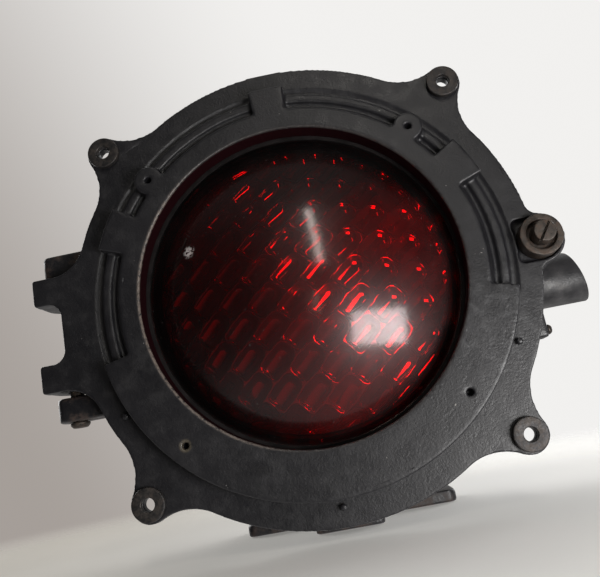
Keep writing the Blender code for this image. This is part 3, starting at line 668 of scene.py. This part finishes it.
def round_lug(angle, distance, radius, fillet, steps):
    """Edge of a round lug on the flange, with its fillets, and half the angle it takes up."""
    reach = FLANGE_R + fillet
    side = radius + fillet
    cosine = (reach**2 + distance**2 - side**2) / (2 * reach * distance)
    half = math.degrees(math.acos(cosine))
    fx, fy = around(reach, -half)
    towards = math.degrees(math.atan2(-fy, distance - fx))
    lower = arc(fx, fy, fillet, 180 - half, towards, 16)
    tip = arc(distance, 0, radius, towards - 180, 180 - towards, steps)
    upper = [(x, -y) for x, y in reversed(lower)]
    return half, turned_points(lower + tip[1:-1] + upper, angle)


def hinge_edge():
    """Upper half of the door's edge at the hinge, from the flange to the middle of the bridge."""
    fy = KNUCKLE_TOP + HINGE_FILLET
    fx = -math.sqrt((FLANGE_R + HINGE_FILLET) ** 2 - fy**2)
    start = math.degrees(math.atan2(-fy, -fx))
    corner = 0.0022
    inner = 0.008
    edge = arc(fx, fy, HINGE_FILLET, start, -90, 20)
    edge += arc(KNUCKLE_X + corner, KNUCKLE_TOP - corner, corner, 90, 180, 6)
    edge += arc(KNUCKLE_X + corner, KNUCKLE_LOW + corner, corner, 180, 270, 6)
    edge += arc(BRIDGE_X - inner, KNUCKLE_LOW - inner, inner, 90, 0, 12)
    return 180 - math.degrees(math.atan2(fy, fx)), edge


def door_outline():
    """The door's edge, counter-clockwise from the latch lug."""
    ear_distance = math.hypot(EAR_SPREAD, EAR_SPREAD)
    hinge_half, upper_hinge = hinge_edge()
    lower_hinge = [(x, -y) for x, y in reversed(upper_hinge)]
    lugs = [(0, *round_lug(0, LATCH_X, LATCH_LUG_R, LATCH_FILLET, 30))]
    lugs += [(angle, *round_lug(angle, ear_distance, EAR_R, EAR_FILLET, 30)) for angle in (45, 135)]
    lugs.append((180, hinge_half, upper_hinge + lower_hinge))
    lugs += [(angle, *round_lug(angle, ear_distance, EAR_R, EAR_FILLET, 30)) for angle in (225, 315)]
    edge = []
    for i, (angle, half, points) in enumerate(lugs):
        following, next_half, _ = lugs[(i + 1) % len(lugs)]
        start, end = angle + half, (following or 360) - next_half
        edge += points
        edge += arc(0, 0, FLANGE_R, start, end, max(2, round(end - start)))[1:-1]
    return edge


def relief_outline():
    """Outer edge of the raised ring: narrow with pads and bosses above, and wide below."""
    cosine = (RING_INNER_R**2 + HOOD_PCR**2 - HOOD_BOSS_R**2) / (2 * RING_INNER_R * HOOD_PCR)
    boss_half = math.degrees(math.acos(cosine))
    rx, ry = around(RING_INNER_R, -boss_half)
    boss_start = math.degrees(math.atan2(ry, rx - HOOD_PCR))
    boss = arc(HOOD_PCR, 0, HOOD_BOSS_R, boss_start, -boss_start, 30)[1:-1]
    bumps = [(middle_angle, half, "pad") for middle_angle, half in PADS]
    bumps += [(angle, boss_half, "boss") for angle in (45, 135)]
    edge = []
    angle = -RING_END
    for centre, half, kind in sorted(bumps):
        edge += arc(0, 0, RING_INNER_R, angle, centre - half, 16)
        if kind == "pad":
            edge += arc(0, 0, RING_OUTER_R, centre - half, centre + half, 10)
        else:
            edge += turned_points(boss, centre)
        angle = centre + half
    edge += arc(0, 0, RING_INNER_R, angle, 180 + RING_END, 16)
    edge += arc(0, 0, RING_OUTER_R, 180 + RING_END, 360 - RING_END, 90)
    return edge


def ear_spots():
    return [(sx * EAR_SPREAD, sy * EAR_SPREAD) for sx, sy in ((1, 1), (-1, 1), (-1, -1), (1, -1))]


def ring_section():
    """Section of the door's ring, with the groove, rib and channel of its upper half."""
    foot = RING_H - 0.0002
    points = [(BORE_R, foot), (RING_INNER_R, foot), (RING_INNER_R + 0.0028, LEDGE_H)]
    points += [(GROOVE_INNER_R + 0.0003, GROOVE_H), (GROOVE_OUTER_R - 0.0003, GROOVE_H)]
    points += [(GROOVE_OUTER_R, LEDGE_H), (LEDGE_R - 0.0006, LEDGE_H), (LEDGE_R, LEDGE_H - 0.0006)]
    points += [(LEDGE_R + 0.0016, -CHANNEL_DEPTH), (CHANNEL_R - 0.0004, -CHANNEL_DEPTH), (CHANNEL_R + 0.0012, 0)]
    points += [(CHANNEL_R + 0.003, 0), (CHANNEL_R + 0.003, -FLANGE_T), (SEAT_BOSS_R, -FLANGE_T)]
    points += [(SEAT_BOSS_R, SEAT_BOSS_Z), (SEAT_R, SEAT_BOSS_Z), (SEAT_R, SEAT_Z), (BORE_R, SEAT_Z)]
    return points


def knuckle(side):
    radius = HINGE_X - KNUCKLE_X - KNUCKLE_INSET
    edge = [(HINGE_X + radius, -0.002), (HINGE_X - radius, -0.002)]
    edge += arc(HINGE_X, HINGE_Z, radius, 180, 360, 36)
    low, high = sorted((side * (KNUCKLE_LOW + KNUCKLE_INSET), side * (KNUCKLE_TOP - KNUCKLE_INSET)))
    return laid([edge, circle(HINGE_X, HINGE_Z, PIN_R + 0.0005)], low, high)


def make_door():
    hub = circle(0, 0, CHANNEL_R + 0.0015, FINE)
    ears = [circle(x, y, EAR_HOLE_R) for x, y in ear_spots()]
    corner = 0.003
    pocket = arc(LATCH_X, 0, POCKET_R, -90, 90, 40)
    pocket += arc(POCKET_X + corner, POCKET_R - corner, corner, 90, 180, 8)
    pocket += arc(POCKET_X + corner, corner - POCKET_R, corner, 180, 270, 8)
    outline = door_outline()
    bore = circle(LATCH_X, 0, SCREW_R + 0.0009)
    shells = [plate([outline, hub, bore] + ears, -FLANGE_T, -POCKET_DEPTH)]
    shells.append(plate([outline, hub, pocket] + ears, -POCKET_DEPTH - 0.0008, 0))
    drills = [rod(CLAMP_DRILL_R, -0.03, -0.007, (*around(CLAMP_PCR, 30 + 60 * i), 0)) for i in range(6)]
    shells.append(carved(lathe(ring_section()), drills))
    holes = [circle(*around(HOOD_PCR, angle), HOOD_HOLE_R, 24) for angle in (45, 135, 225, 315)]
    shells.append(plate([relief_outline(), circle(0, 0, BORE_R, FINE)] + holes, GROOVE_H - 0.002, RING_H))
    fill = sector(GROOVE_OUTER_R + 0.001, CHANNEL_R + 0.002, 180 + RING_END + 1.2, 360 - RING_END - 1.2, 90)
    shells.append(plate([fill], -0.004, 0))
    shells += [knuckle(side) for side in (1, -1)]
    door = cast("cast_door", shells, DOOR_GRAIN, 6)
    return finished(door, "door", "cast_black_paint", paint_look("door_paint", door_features), "door_casting")


# ---------------------------------------------------------------- housing


def bowl_curve():
    """Outer side of the bowl, from its rim to its back edge."""
    return flowing([(0.136, -0.026), (0.1335, -0.050), (0.1285, -0.080), (0.1205, -0.112), (0.108, -0.142)])


def hollow_curve():
    """Side of the bowl's hollow, from its rim to its floor, ending on the axis."""
    side = [(radius - WALL, z) for radius, z in bowl_curve()]
    return side + [(side[-1][0] - 0.009, FLOOR_Z), (0, FLOOR_Z)]


def shell_section():
    """Section of the bowl: its outer side and its hollow, as one outline from axis to axis."""
    points = [(0, SHELL_BACK), (0.098, SHELL_BACK)] + bowl_curve()[::-1]
    points += [(RIM_R, RIM_BACK), (RIM_R, RIM_Z), (RIM_BORE_R, RIM_Z), (RIM_BORE_R, RIM_BACK)]
    return points + hollow_curve()


def hollow():
    """The bowl's hollow as a solid, to trim what stands on the bowl's outside."""
    return lathe([(0, 0), (RIM_BORE_R, 0), (RIM_BORE_R, RIM_BACK)] + hollow_curve(), closed=False)


def hinge_arm(side):
    """Lug of the housing round the hinge pin, drawn from the side and cut by the bowl's hollow."""
    low, high = sorted((side * LUG_LOW, side * LUG_TOP))
    top = math.degrees(math.asin((LUG_FRONT_Z - HINGE_Z) / LUG_R))
    edge = arc(HINGE_X, HINGE_Z, LUG_R, 180 - top, 270, 40)
    edge = [(-0.112, LUG_FRONT_Z)] + edge + [(-0.112, HINGE_Z - LUG_R)]
    return laid([edge, circle(HINGE_X, HINGE_Z, PIN_R + SEAT_GAP, 32)], low, high)


def base_shells():
    edge = arc(STEM_HALF - 0.004, STEM_FRONT, 0.004, 90, 0, 8) + [(STEM_HALF, FOOT_FRONT)]
    edge += arc(FOOT_HALF - 0.006, FOOT_FRONT - 0.006, 0.006, 90, 0, 8)
    edge += arc(FOOT_HALF - 0.006, FOOT_BACK + 0.006, 0.006, 0, -90, 8)
    outline = edge + [(-x, z) for x, z in reversed(edge)]
    holes = [circle(0, STEM_FRONT - 0.0055, BASE_HOLE_R - 0.001)]
    centre = (FOOT_FRONT + FOOT_BACK) / 2
    holes += [circle(side * FOOT_HOLE_X, centre, BASE_HOLE_R) for side in (1, -1)]
    shells = [laid([outline] + holes, SOLE_Y, SOLE_Y + BASE_T)]
    shells.append(box((-0.016, SOLE_Y + 0.002, -0.125), (0.016, -0.110, -0.062)))
    shells.append(box((-0.044, SOLE_Y + 0.003, centre - 0.007), (0.044, -0.102, centre + 0.007)))
    return shells


def make_housing():
    spot = (0, TUBE_Y, TUBE_Z)
    bore = rod(TUBE_R + SEAT_GAP, 0.080, 0.160, spot, "x", 64)
    shells = [carved(lathe(shell_section(), closed=False), [bore])]
    ring = plate([circle(0, 0, TUBE_R + 0.0045, 64), circle(0, 0, TUBE_R + SEAT_GAP, 64)], 0.116, 0.150)
    outside = [moved(ring, Matrix.Translation(spot) @ Matrix.Rotation(math.pi / 2, 4, "Y"))]
    keeper_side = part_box("earth_screw")[1].x - 0.0035
    keeper = [(0.126, -0.0596), (keeper_side, -0.0596), (keeper_side, -LATCH_LUG_R)]
    keeper += arc(LATCH_X, 0, LATCH_LUG_R, -80, 90, 40) + [(0.126, LATCH_LUG_R)]
    keeper = plate([keeper, circle(LATCH_X, 0, SCREW_R + 0.001)], KEEPER_BACK, KEEPER_Z)
    earth = rod(0.0024, 0.138, 0.160, (0, EARTH_Y, EARTH_Z), "x", 16)
    outside.append(carved(keeper, [earth]))
    outside += [hinge_arm(side) for side in (1, -1)]
    outside += base_shells()
    shells += [carved(shell, [hollow()]) for shell in outside]
    housing = cast("cast_housing", shells, HOUSING_GRAIN, 4)
    look = paint_look("housing_paint", housing_features)
    return finished(housing, "housing", "cast_black_paint", look, "rear_housing")


def make_tube():
    """Plain tube with a slanted mouth and rounded lips."""
    steps = 96
    lip = 0.0007
    section = [(TUBE_BORE_R, 0, 0), (TUBE_BORE_R, -lip, 1), (TUBE_BORE_R + lip * 0.3, -lip * 0.3, 1)]
    section += [(TUBE_BORE_R + lip, 0, 1), (TUBE_R - lip, 0, 1), (TUBE_R - lip * 0.3, -lip * 0.3, 1)]
    section += [(TUBE_R, -lip, 1), (TUBE_R, 0, 0)]
    points, faces = [], []
    for radius, back, mouth in section:
        for i in range(steps):
            y, z = around(radius, 360 * i / steps)
            x = TUBE_END - TUBE_SLANT * y + back if mouth else TUBE_START
            points.append((x, TUBE_Y + y, TUBE_Z + z))
    for k in range(len(section)):
        for i in range(steps):
            j = (i + 1) % steps
            a, b = k * steps, ((k + 1) % len(section)) * steps
            faces.append((a + i, b + i, b + j, a + j))
    tube = mesh_object("side_pipe", [(points, faces)])
    tube.data.shade_smooth()
    tube.data.set_sharp_from_angle(angle=math.radians(50))
    return finished(stood(tube, LAMP), "housing", "cast_black_paint", paint_look("pipe_paint"), "side_tube")


# ---------------------------------------------------------------- lens

CHIP_SPOT = (-0.0668, 0.0330, 0.0105)


def dome_height(radius, foot_radius, apex, foot):
    """Height at a radius of a spherical cap with a given apex and foot."""
    rise = apex - foot
    ball = (foot_radius**2 + rise**2) / (2 * rise)
    return apex - ball + math.sqrt(max(0.0, ball**2 - radius**2))


def bar_relief(u, v):
    """How far the moulded bars stand out of the lens's back: straight along u, round across v and at the ends."""
    row = math.floor(v / BAR_ROW)
    t = v / BAR_ROW - row - 0.5
    along = u / BAR_PITCH + 0.5 * (row % 2)
    s = (along - math.floor(along)) * BAR_PITCH
    into_end = max(0.0, 1 - (BAR_PITCH - s) / BAR_SOFT_END, 1 - s / BAR_SHARP_END)
    return BAR_DEPTH * max(0.0, 1 - (2 * t) ** 2 - into_end**2)


def lens_grid(limit):
    """Grid along the bars, clipped to a circle, with its rim pulled onto the circle."""
    step_u, step_v = BAR_PITCH / 26, BAR_ROW / 16
    count_u, count_v = math.ceil(limit / step_u), math.ceil(limit / step_v)
    index, points, faces = {}, [], []
    for i in range(-count_u, count_u):
        for j in range(-count_v, count_v):
            if math.hypot((i + 0.5) * step_u, (j + 0.5) * step_v) > limit - 0.4 * step_u:
                continue
            corners = []
            for key in ((i, j), (i + 1, j), (i + 1, j + 1), (i, j + 1)):
                if key not in index:
                    index[key] = len(points)
                    points.append((key[0] * step_u, key[1] * step_v))
                corners.append(index[key])
            faces.append(tuple(corners))
    used = {}
    for face in faces:
        for a, b in zip(face, face[1:] + face[:1]):
            used[(a, b)] = True
    rim = {a: b for a, b in used if (b, a) not in used}
    start = next(iter(rim))
    loop, here = [start], rim[start]
    while here != start:
        loop.append(here)
        here = rim[here]
    for i in loop:
        u, v = points[i]
        scale = limit / math.hypot(u, v)
        points[i] = (u * scale, v * scale)
    return points, faces, loop


def make_lens():
    back_r = LENS_DOME_R - LENS_T
    flat, quads, loop = lens_grid(back_r)
    turn = math.radians(BAR_TILT)
    cos_t, sin_t = math.cos(turn), math.sin(turn)
    grow = LENS_DOME_R / back_r
    chip = Vector(CHIP_SPOT[:2])
    points, faces = [], []
    for u, v in flat:
        x, y = u * cos_t + v * sin_t, u * sin_t - v * cos_t
        radius = math.hypot(u, v)
        ripple = noise.noise(Vector((u, v, 0)) * 420) * 0.00002 + noise.noise(Vector((u, v, 3)) * 120) * 0.00004
        fade = min(1.0, (back_r - radius) / 0.004)
        z = dome_height(radius, back_r, LENS_APEX - LENS_T, LENS_BACK) - bar_relief(u, v) * fade + ripple
        points.append((x, y, z))
    count = len(points)
    for u, v in flat:
        x, y = (u * cos_t + v * sin_t) * grow, (u * sin_t - v * cos_t) * grow
        z = dome_height(math.hypot(x, y), LENS_DOME_R, LENS_APEX, LENS_RIM_Z)
        nick = max(0.0, 1 - (Vector((x, y)) - chip).length / 0.0035)
        z -= 0.0006 * nick * (0.5 + noise.noise(Vector((x, y, 0)) * 600))
        points.append((x, y, z))
    mirrored = [tuple(reversed(face)) for face in quads]
    faces += quads
    faces += [tuple(i + count for i in face) for face in mirrored]
    rings = [loop]
    corner = 0.0006
    section = [(LENS_RIM_R - corner, LENS_BACK), (LENS_RIM_R, LENS_BACK + corner), (LENS_RIM_R, LENS_RIM_Z - corner)]
    section += [(LENS_RIM_R - corner, LENS_RIM_Z), (LENS_DOME_R + corner, LENS_RIM_Z)]
    for radius, z in section:
        first = len(points)
        rings.append(list(range(first, first + len(loop))))
        for i in loop:
            direction = Vector(points[i][:2]).normalized()
            points.append((direction.x * radius, direction.y * radius, z))
    rings.append([i + count for i in loop])
    front_from = len(quads)
    for lower, upper in zip(rings, rings[1:]):
        for i in range(len(loop)):
            j = (i + 1) % len(loop)
            faces.append((lower[i], lower[j], upper[j], upper[i]))
    lens = mesh_object("ruby_lens", [(points, faces)])
    lens.data.materials.append(lens_front_look())
    lens.data.materials.append(lens_back_look())
    for i, polygon in enumerate(lens.data.polygons):
        polygon.material_index = 1 if i < front_from else 0
        polygon.use_smooth = True
    return finished(stood(lens, LAMP), "door", "red_glass", None, "lens")


# ---------------------------------------------------------------- small turned pieces


def seat_of(name, facing):
    """Stands a turned piece on its CAD node's seat, with its own z facing front, right, up or down."""
    low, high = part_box(name)
    centre = (low + high) / 2
    quarter = math.pi / 2
    if facing == "front":
        return Matrix.Translation((centre.x, high.y, centre.z)) @ Matrix.Rotation(quarter, 4, "X")
    if facing == "right":
        return Matrix.Translation((low.x, centre.y, centre.z)) @ Matrix.Rotation(quarter, 4, "Y")
    if facing == "up":
        return Matrix.Translation((centre.x, centre.y, low.z))
    return Matrix.Translation((centre.x, centre.y, high.z)) @ Matrix.Rotation(math.pi, 4, "X")


def turned_piece(name, shell, cad_node, facing, body, slot, look):
    obj = mesh_object(name, [shell])
    obj.data.shade_smooth()
    obj.data.set_sharp_from_angle(angle=math.radians(42))
    return finished(stood(obj, seat_of(cad_node, facing)), body, slot, look, cad_node)


def make_latch(steel):
    low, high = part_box("latch_collar")
    radius, tall = (high.x - low.x) / 2, high.y - low.y
    bore, counterbore, step = SCREW_R + 0.0006, 0.0092, tall - 0.004
    profile = [(radius, tall), (radius, 0), (bore, 0), (bore, step), (counterbore, step), (counterbore, tall)]
    collar = lathe(softened(profile, 0.0009), TURNED)
    turned_piece("latch_bush", collar, "latch_collar", "front", "collar", "worn_steel", steel)
    low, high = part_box("latch_screw")
    radius, tall = (high.x - low.x) / 2, high.y - low.y
    neck = tall - 0.0122
    profile = [(0, tall), (radius, tall), (radius, neck), (SCREW_R, neck), (SCREW_R, 0.0015)]
    profile += [(SCREW_R - 0.0012, 0), (0, 0)]
    shank = lathe(softened(profile, 0.0007, closed=False), TURNED, closed=False)
    slot = box((-0.01, -0.0008, tall - 0.0030), (0.01, 0.0008, tall + 0.002))
    shank = carved(shank, [moved(slot, Matrix.Rotation(math.radians(55.0), 4, "Z"))])
    turned_piece("latch_bolt", shank, "latch_screw", "front", "screw", "worn_steel", steel)


def make_spacers(look):
    for corner in ("top_right", "top_left", "bottom_left", "bottom_right"):
        name = f"ear_spacer_{corner}"
        low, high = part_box(name)
        radius, tall = (high.x - low.x) / 2, high.y - low.y
        hole = EAR_HOLE_R + 0.0002
        shell = lathe(softened([(radius, tall), (radius, 0), (hole, 0), (hole, tall)], 0.0008), TURNED)
        turned_piece(f"spacer_{corner}", shell, name, "front", "door", "worn_steel", look)


def make_pegs(look):
    for side in ("left", "right", "bottom"):
        name = f"hood_peg_{side}"
        low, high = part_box(name)
        radius, tall = (high.x - low.x) / 2, high.y - low.y
        shell = lathe(softened([(0, tall), (radius * 0.9, tall * 0.9), (radius, 0), (0, 0)], 0.0012, False), 32, False)
        turned_piece(f"peg_{side}", shell, name, "front", "door", "cast_black_paint", look)


def make_pins(look):
    low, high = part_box("hinge_pin_upper")
    tall = high.z - low.z
    shell = lathe(softened([(0, tall), (PIN_R, tall), (PIN_R, 0), (0, 0)], 0.0006, False), TURNED, False)
    turned_piece("pin_upper", shell, "hinge_pin_upper", "up", "housing", "worn_steel", look)
    low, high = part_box("hinge_pin_lower")
    radius, tall = (high.x - low.x) / 2, high.z - low.z
    neck = tall - 0.0036
    profile = [(0, tall), (radius * 0.75, tall - 0.0002), (radius, neck + 0.0014), (radius, neck)]
    profile += [(PIN_R, neck), (PIN_R, 0), (0, 0)]
    shell = lathe(softened(profile, 0.0007, False), TURNED, False)
    turned_piece("pin_lower", shell, "hinge_pin_lower", "down", "housing", "worn_steel", look)
    low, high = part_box("earth_screw")
    radius, tall = (high.z - low.z) / 2, high.x - low.x
    neck = tall - 0.0032
    profile = [(0, tall), (radius * 0.65, tall - 0.0003), (radius, neck + 0.0013), (radius, neck)]
    profile += [(0.002, neck), (0.002, 0), (0, 0)]
    shell = lathe(softened(profile, 0.0007, False), 48, False)
    turned_piece("earth_terminal", shell, "earth_screw", "right", "housing", "brass", look)


# ---------------------------------------------------------------- carried-over CAD nodes


def dress_nodes(looks):
    """Gives every CAD node that still shows rounded edges and its slot's material."""
    slots = {row["node"]: row["material_slot"] for row in frame["record"]["subparts"]}
    for name, obj in frame["nodes"].items():
        if obj.hide_render:
            continue
        obj.data.materials.clear()
        obj.data.materials.append(looks[slots[name]])
        weld = obj.modifiers.new("weld", "WELD")
        weld.merge_threshold = 0.00002
        edge = obj.modifiers.new("edge", "BEVEL")
        edge.width = 0.00025
        edge.segments = 2
        edge.limit_method = "ANGLE"
        edge.angle_limit = math.radians(35)
        edge.harden_normals = False
        obj.data.shade_smooth()


# ---------------------------------------------------------------- stage, light and camera


def lamp_point(x, y):
    """A point of the lens's outer dome and its normal, in the world."""
    z = dome_height(math.hypot(x, y), LENS_DOME_R, LENS_APEX, LENS_RIM_Z)
    rise = LENS_APEX - LENS_RIM_Z
    ball = (LENS_DOME_R**2 + rise**2) / (2 * rise)
    normal = Vector((x, y, z - (LENS_APEX - ball))).normalized()
    return LAMP @ Vector((x, y, z)), LAMP.to_3x3() @ normal


def area_light(name, place, target, size, radiance, colour):
    data = bpy.data.lights.new(name, "AREA")
    data.shape = "RECTANGLE"
    data.size, data.size_y = size
    data.energy = radiance * math.pi * size[0] * size[1]
    data.color = colour
    light = bpy.data.objects.new(name, data)
    bpy.context.scene.collection.objects.link(light)
    light.location = place
    light.rotation_mode = "QUATERNION"
    light.rotation_quaternion = (Vector(target) - Vector(place)).to_track_quat("-Z", "Y")
    light.visible_camera = False
    return light


def mirrored_light(name, glint, distance, size, radiance, colour):
    """A light that shows in the lens at a chosen spot of the dome, seen from the camera."""
    point, normal = lamp_point(*glint)
    view = (CAMERA_SPOT - point).normalized()
    towards = 2 * view.dot(normal) * normal - view
    return area_light(name, point + towards * distance, point, size, radiance, colour)


CAMERA_SPOT = Vector((0.0205, -0.5275, 0.0583))
CAMERA_RIGHT = Vector((0.9795, 0.0912, -0.1798))
CAMERA_UP = Vector((0.1951, -0.2041, 0.9593))
CAMERA_LENS = 41.4
BACKDROP_SHADED = (0.375, 0.34, 0.315)
BACKDROP_LIT = (0.885, 0.875, 0.86)


def make_camera():
    data = bpy.data.cameras.new("camera")
    data.lens = CAMERA_LENS
    data.sensor_width = 36
    data.clip_start = 0.01
    camera = bpy.data.objects.new("camera", data)
    bpy.context.scene.collection.objects.link(camera)
    back = CAMERA_RIGHT.cross(CAMERA_UP).normalized()
    up = back.cross(CAMERA_RIGHT).normalized()
    turn = Matrix((CAMERA_RIGHT.normalized(), up, back)).transposed()
    camera.matrix_world = Matrix.Translation(CAMERA_SPOT) @ turn.to_4x4()
    bpy.context.scene.camera = camera


def make_lights():
    mirrored_light("window", (0.0415, -0.0385), 0.62, (0.34, 0.20), 20.0, (1.0, 0.985, 0.97))
    mirrored_light("tube", (0.0140, 0.0235), 1.5, (0.060, 0.82), 23.0, (1.0, 0.96, 0.89))
    mirrored_light("tube_end", (0.0078, -0.0180), 1.5, (0.07, 0.26), 3.5, (1.0, 0.86, 0.70))
    centre = (0, 0, 0.15)
    area_light("top", (0.1, 0.55, 1.5), centre, (1.4, 1.0), 0.9, (1, 1, 1))
    area_light("back_left", (-1.2, 1.1, 0.7), centre, (1.0, 1.0), 4.5, (1, 1, 1))
    area_light("back_right", (1.3, 1.0, 0.6), centre, (1.0, 1.0), 4.5, (1, 1, 1))


def make_world():
    """A pale backdrop to the camera, and a dim room with a pale floor to everything else."""
    world = bpy.data.worlds.new("studio")
    world.use_nodes = True
    tree = world.node_tree
    tree.nodes.clear()
    direction = node(tree, "TexCoord").outputs["Generated"]
    parts = node(tree, "SeparateXYZ", {0: direction})
    up, ahead = parts.outputs["Z"], parts.outputs["Y"]
    below = ramp(tree, up, -0.75, -0.15, 0.40, 0.020)
    above = ramp(tree, up, 0.55, 1.0, 0.0, 0.11)
    behind = ramp(tree, ahead, -0.1, 0.5, 0.0, 0.30)
    glow = calc(tree, "ADD", calc(tree, "ADD", below, above), behind)
    room = node(tree, "Background", {"Color": (1.0, 0.97, 0.95, 1), "Strength": glow})
    shade = ramp(tree, calc(tree, "ADD", parts.outputs["X"], product(tree, up, 0.35)), -0.46, 0.22)
    wall = blend(tree, shade, BACKDROP_SHADED, BACKDROP_LIT)
    seen = node(tree, "Background", {"Color": wall, "Strength": 1.0})
    eye = node(tree, "LightPath").outputs["Is Camera Ray"]
    mixed = node(tree, "MixShader", {0: eye, 1: room.outputs[0], 2: seen.outputs[0]})
    node(tree, "OutputWorld", {"Surface": mixed.outputs[0]})
    bpy.context.scene.world = world


def make_floor():
    """A pale floor that fades into the backdrop. It takes shadows, but lets the low window light pass."""
    made, tree = new_tree("pale_floor")
    spot = place_in(tree)
    weave = grainy(tree, spot, 9, 4)
    # Painted shade: the floor's colour is made darker to the left.
    side = node(tree, "SeparateXYZ", {0: spot}).outputs["X"]
    shade = ramp(tree, calc(tree, "ADD", side, product(tree, weave, 0.05)), -0.35, 0.30)
    colour = blend(tree, shade, (0.47, 0.45, 0.41), (0.84, 0.835, 0.815))
    body = node(tree, "BsdfDiffuse", {"Color": colour})
    clear = node(tree, "BsdfTransparent")
    away = node(tree, "VectorMath", {0: spot}, operation="LENGTH").outputs["Value"]
    fade = ramp(tree, away, 0.18, 0.85)
    # Painted glow: the floor gives off a faint light of its own colour, though it is no lamp.
    painted_glow = node(tree, "Emission", {"Color": colour, "Strength": 0.30})
    lit = node(tree, "AddShader", {0: body.outputs[0], 1: painted_glow.outputs[0]})
    mixed = node(tree, "MixShader", {0: fade, 1: lit.outputs[0], 2: clear.outputs[0]})
    close(tree, mixed.outputs[0])
    floor = mesh_object("floor", [plate([circle(0, 0, 1.2, 96)], -0.002, -0.0002)])
    floor.data.materials.append(made)
    floor.visible_glossy = False
    floor.visible_shadow = False


CASTING_GIVE = 0.00017
MOST_TRIANGLES = 190000
DOOR_GRAIN = 0.0009
HOUSING_GRAIN = 0.0016

bpy.context.scene.view_settings.view_transform = "Standard"

make_door()
make_housing()
make_tube()
make_lens()
rusty = steel_look("rusty_steel", (0.036, 0.032, 0.029), (0.085, 0.072, 0.062), (0.055, 0.032, 0.020), 0.8)
dark_steel = steel_look("painted_steel", (0.030, 0.029, 0.030), (0.050, 0.047, 0.046), (0.075, 0.055, 0.042), 0.35)
make_latch(rusty)
make_spacers(dark_steel)
make_pegs(paint_look("peg_paint"))
make_pins(rusty)
LOOKS = {
    "worn_steel": rusty,
    "brass": brass_look(),
    "rubber": moulded_look("rubber", (0.006, 0.005, 0.005), (0.012, 0.010, 0.010), 0.80, 90, 0.3, 0.1),
    "bakelite": moulded_look("bakelite", (0.030, 0.014, 0.009), (0.060, 0.028, 0.016), 0.32, 60, 0.15),
    "insulation": moulded_look("insulation", (0.16, 0.022, 0.02), (0.10, 0.016, 0.015), 0.5, 120, 0.2),
    "clear_glass": clear_glass_look(),
}
dress_nodes(LOOKS)
make_floor()
make_world()
make_camera()
make_lights()
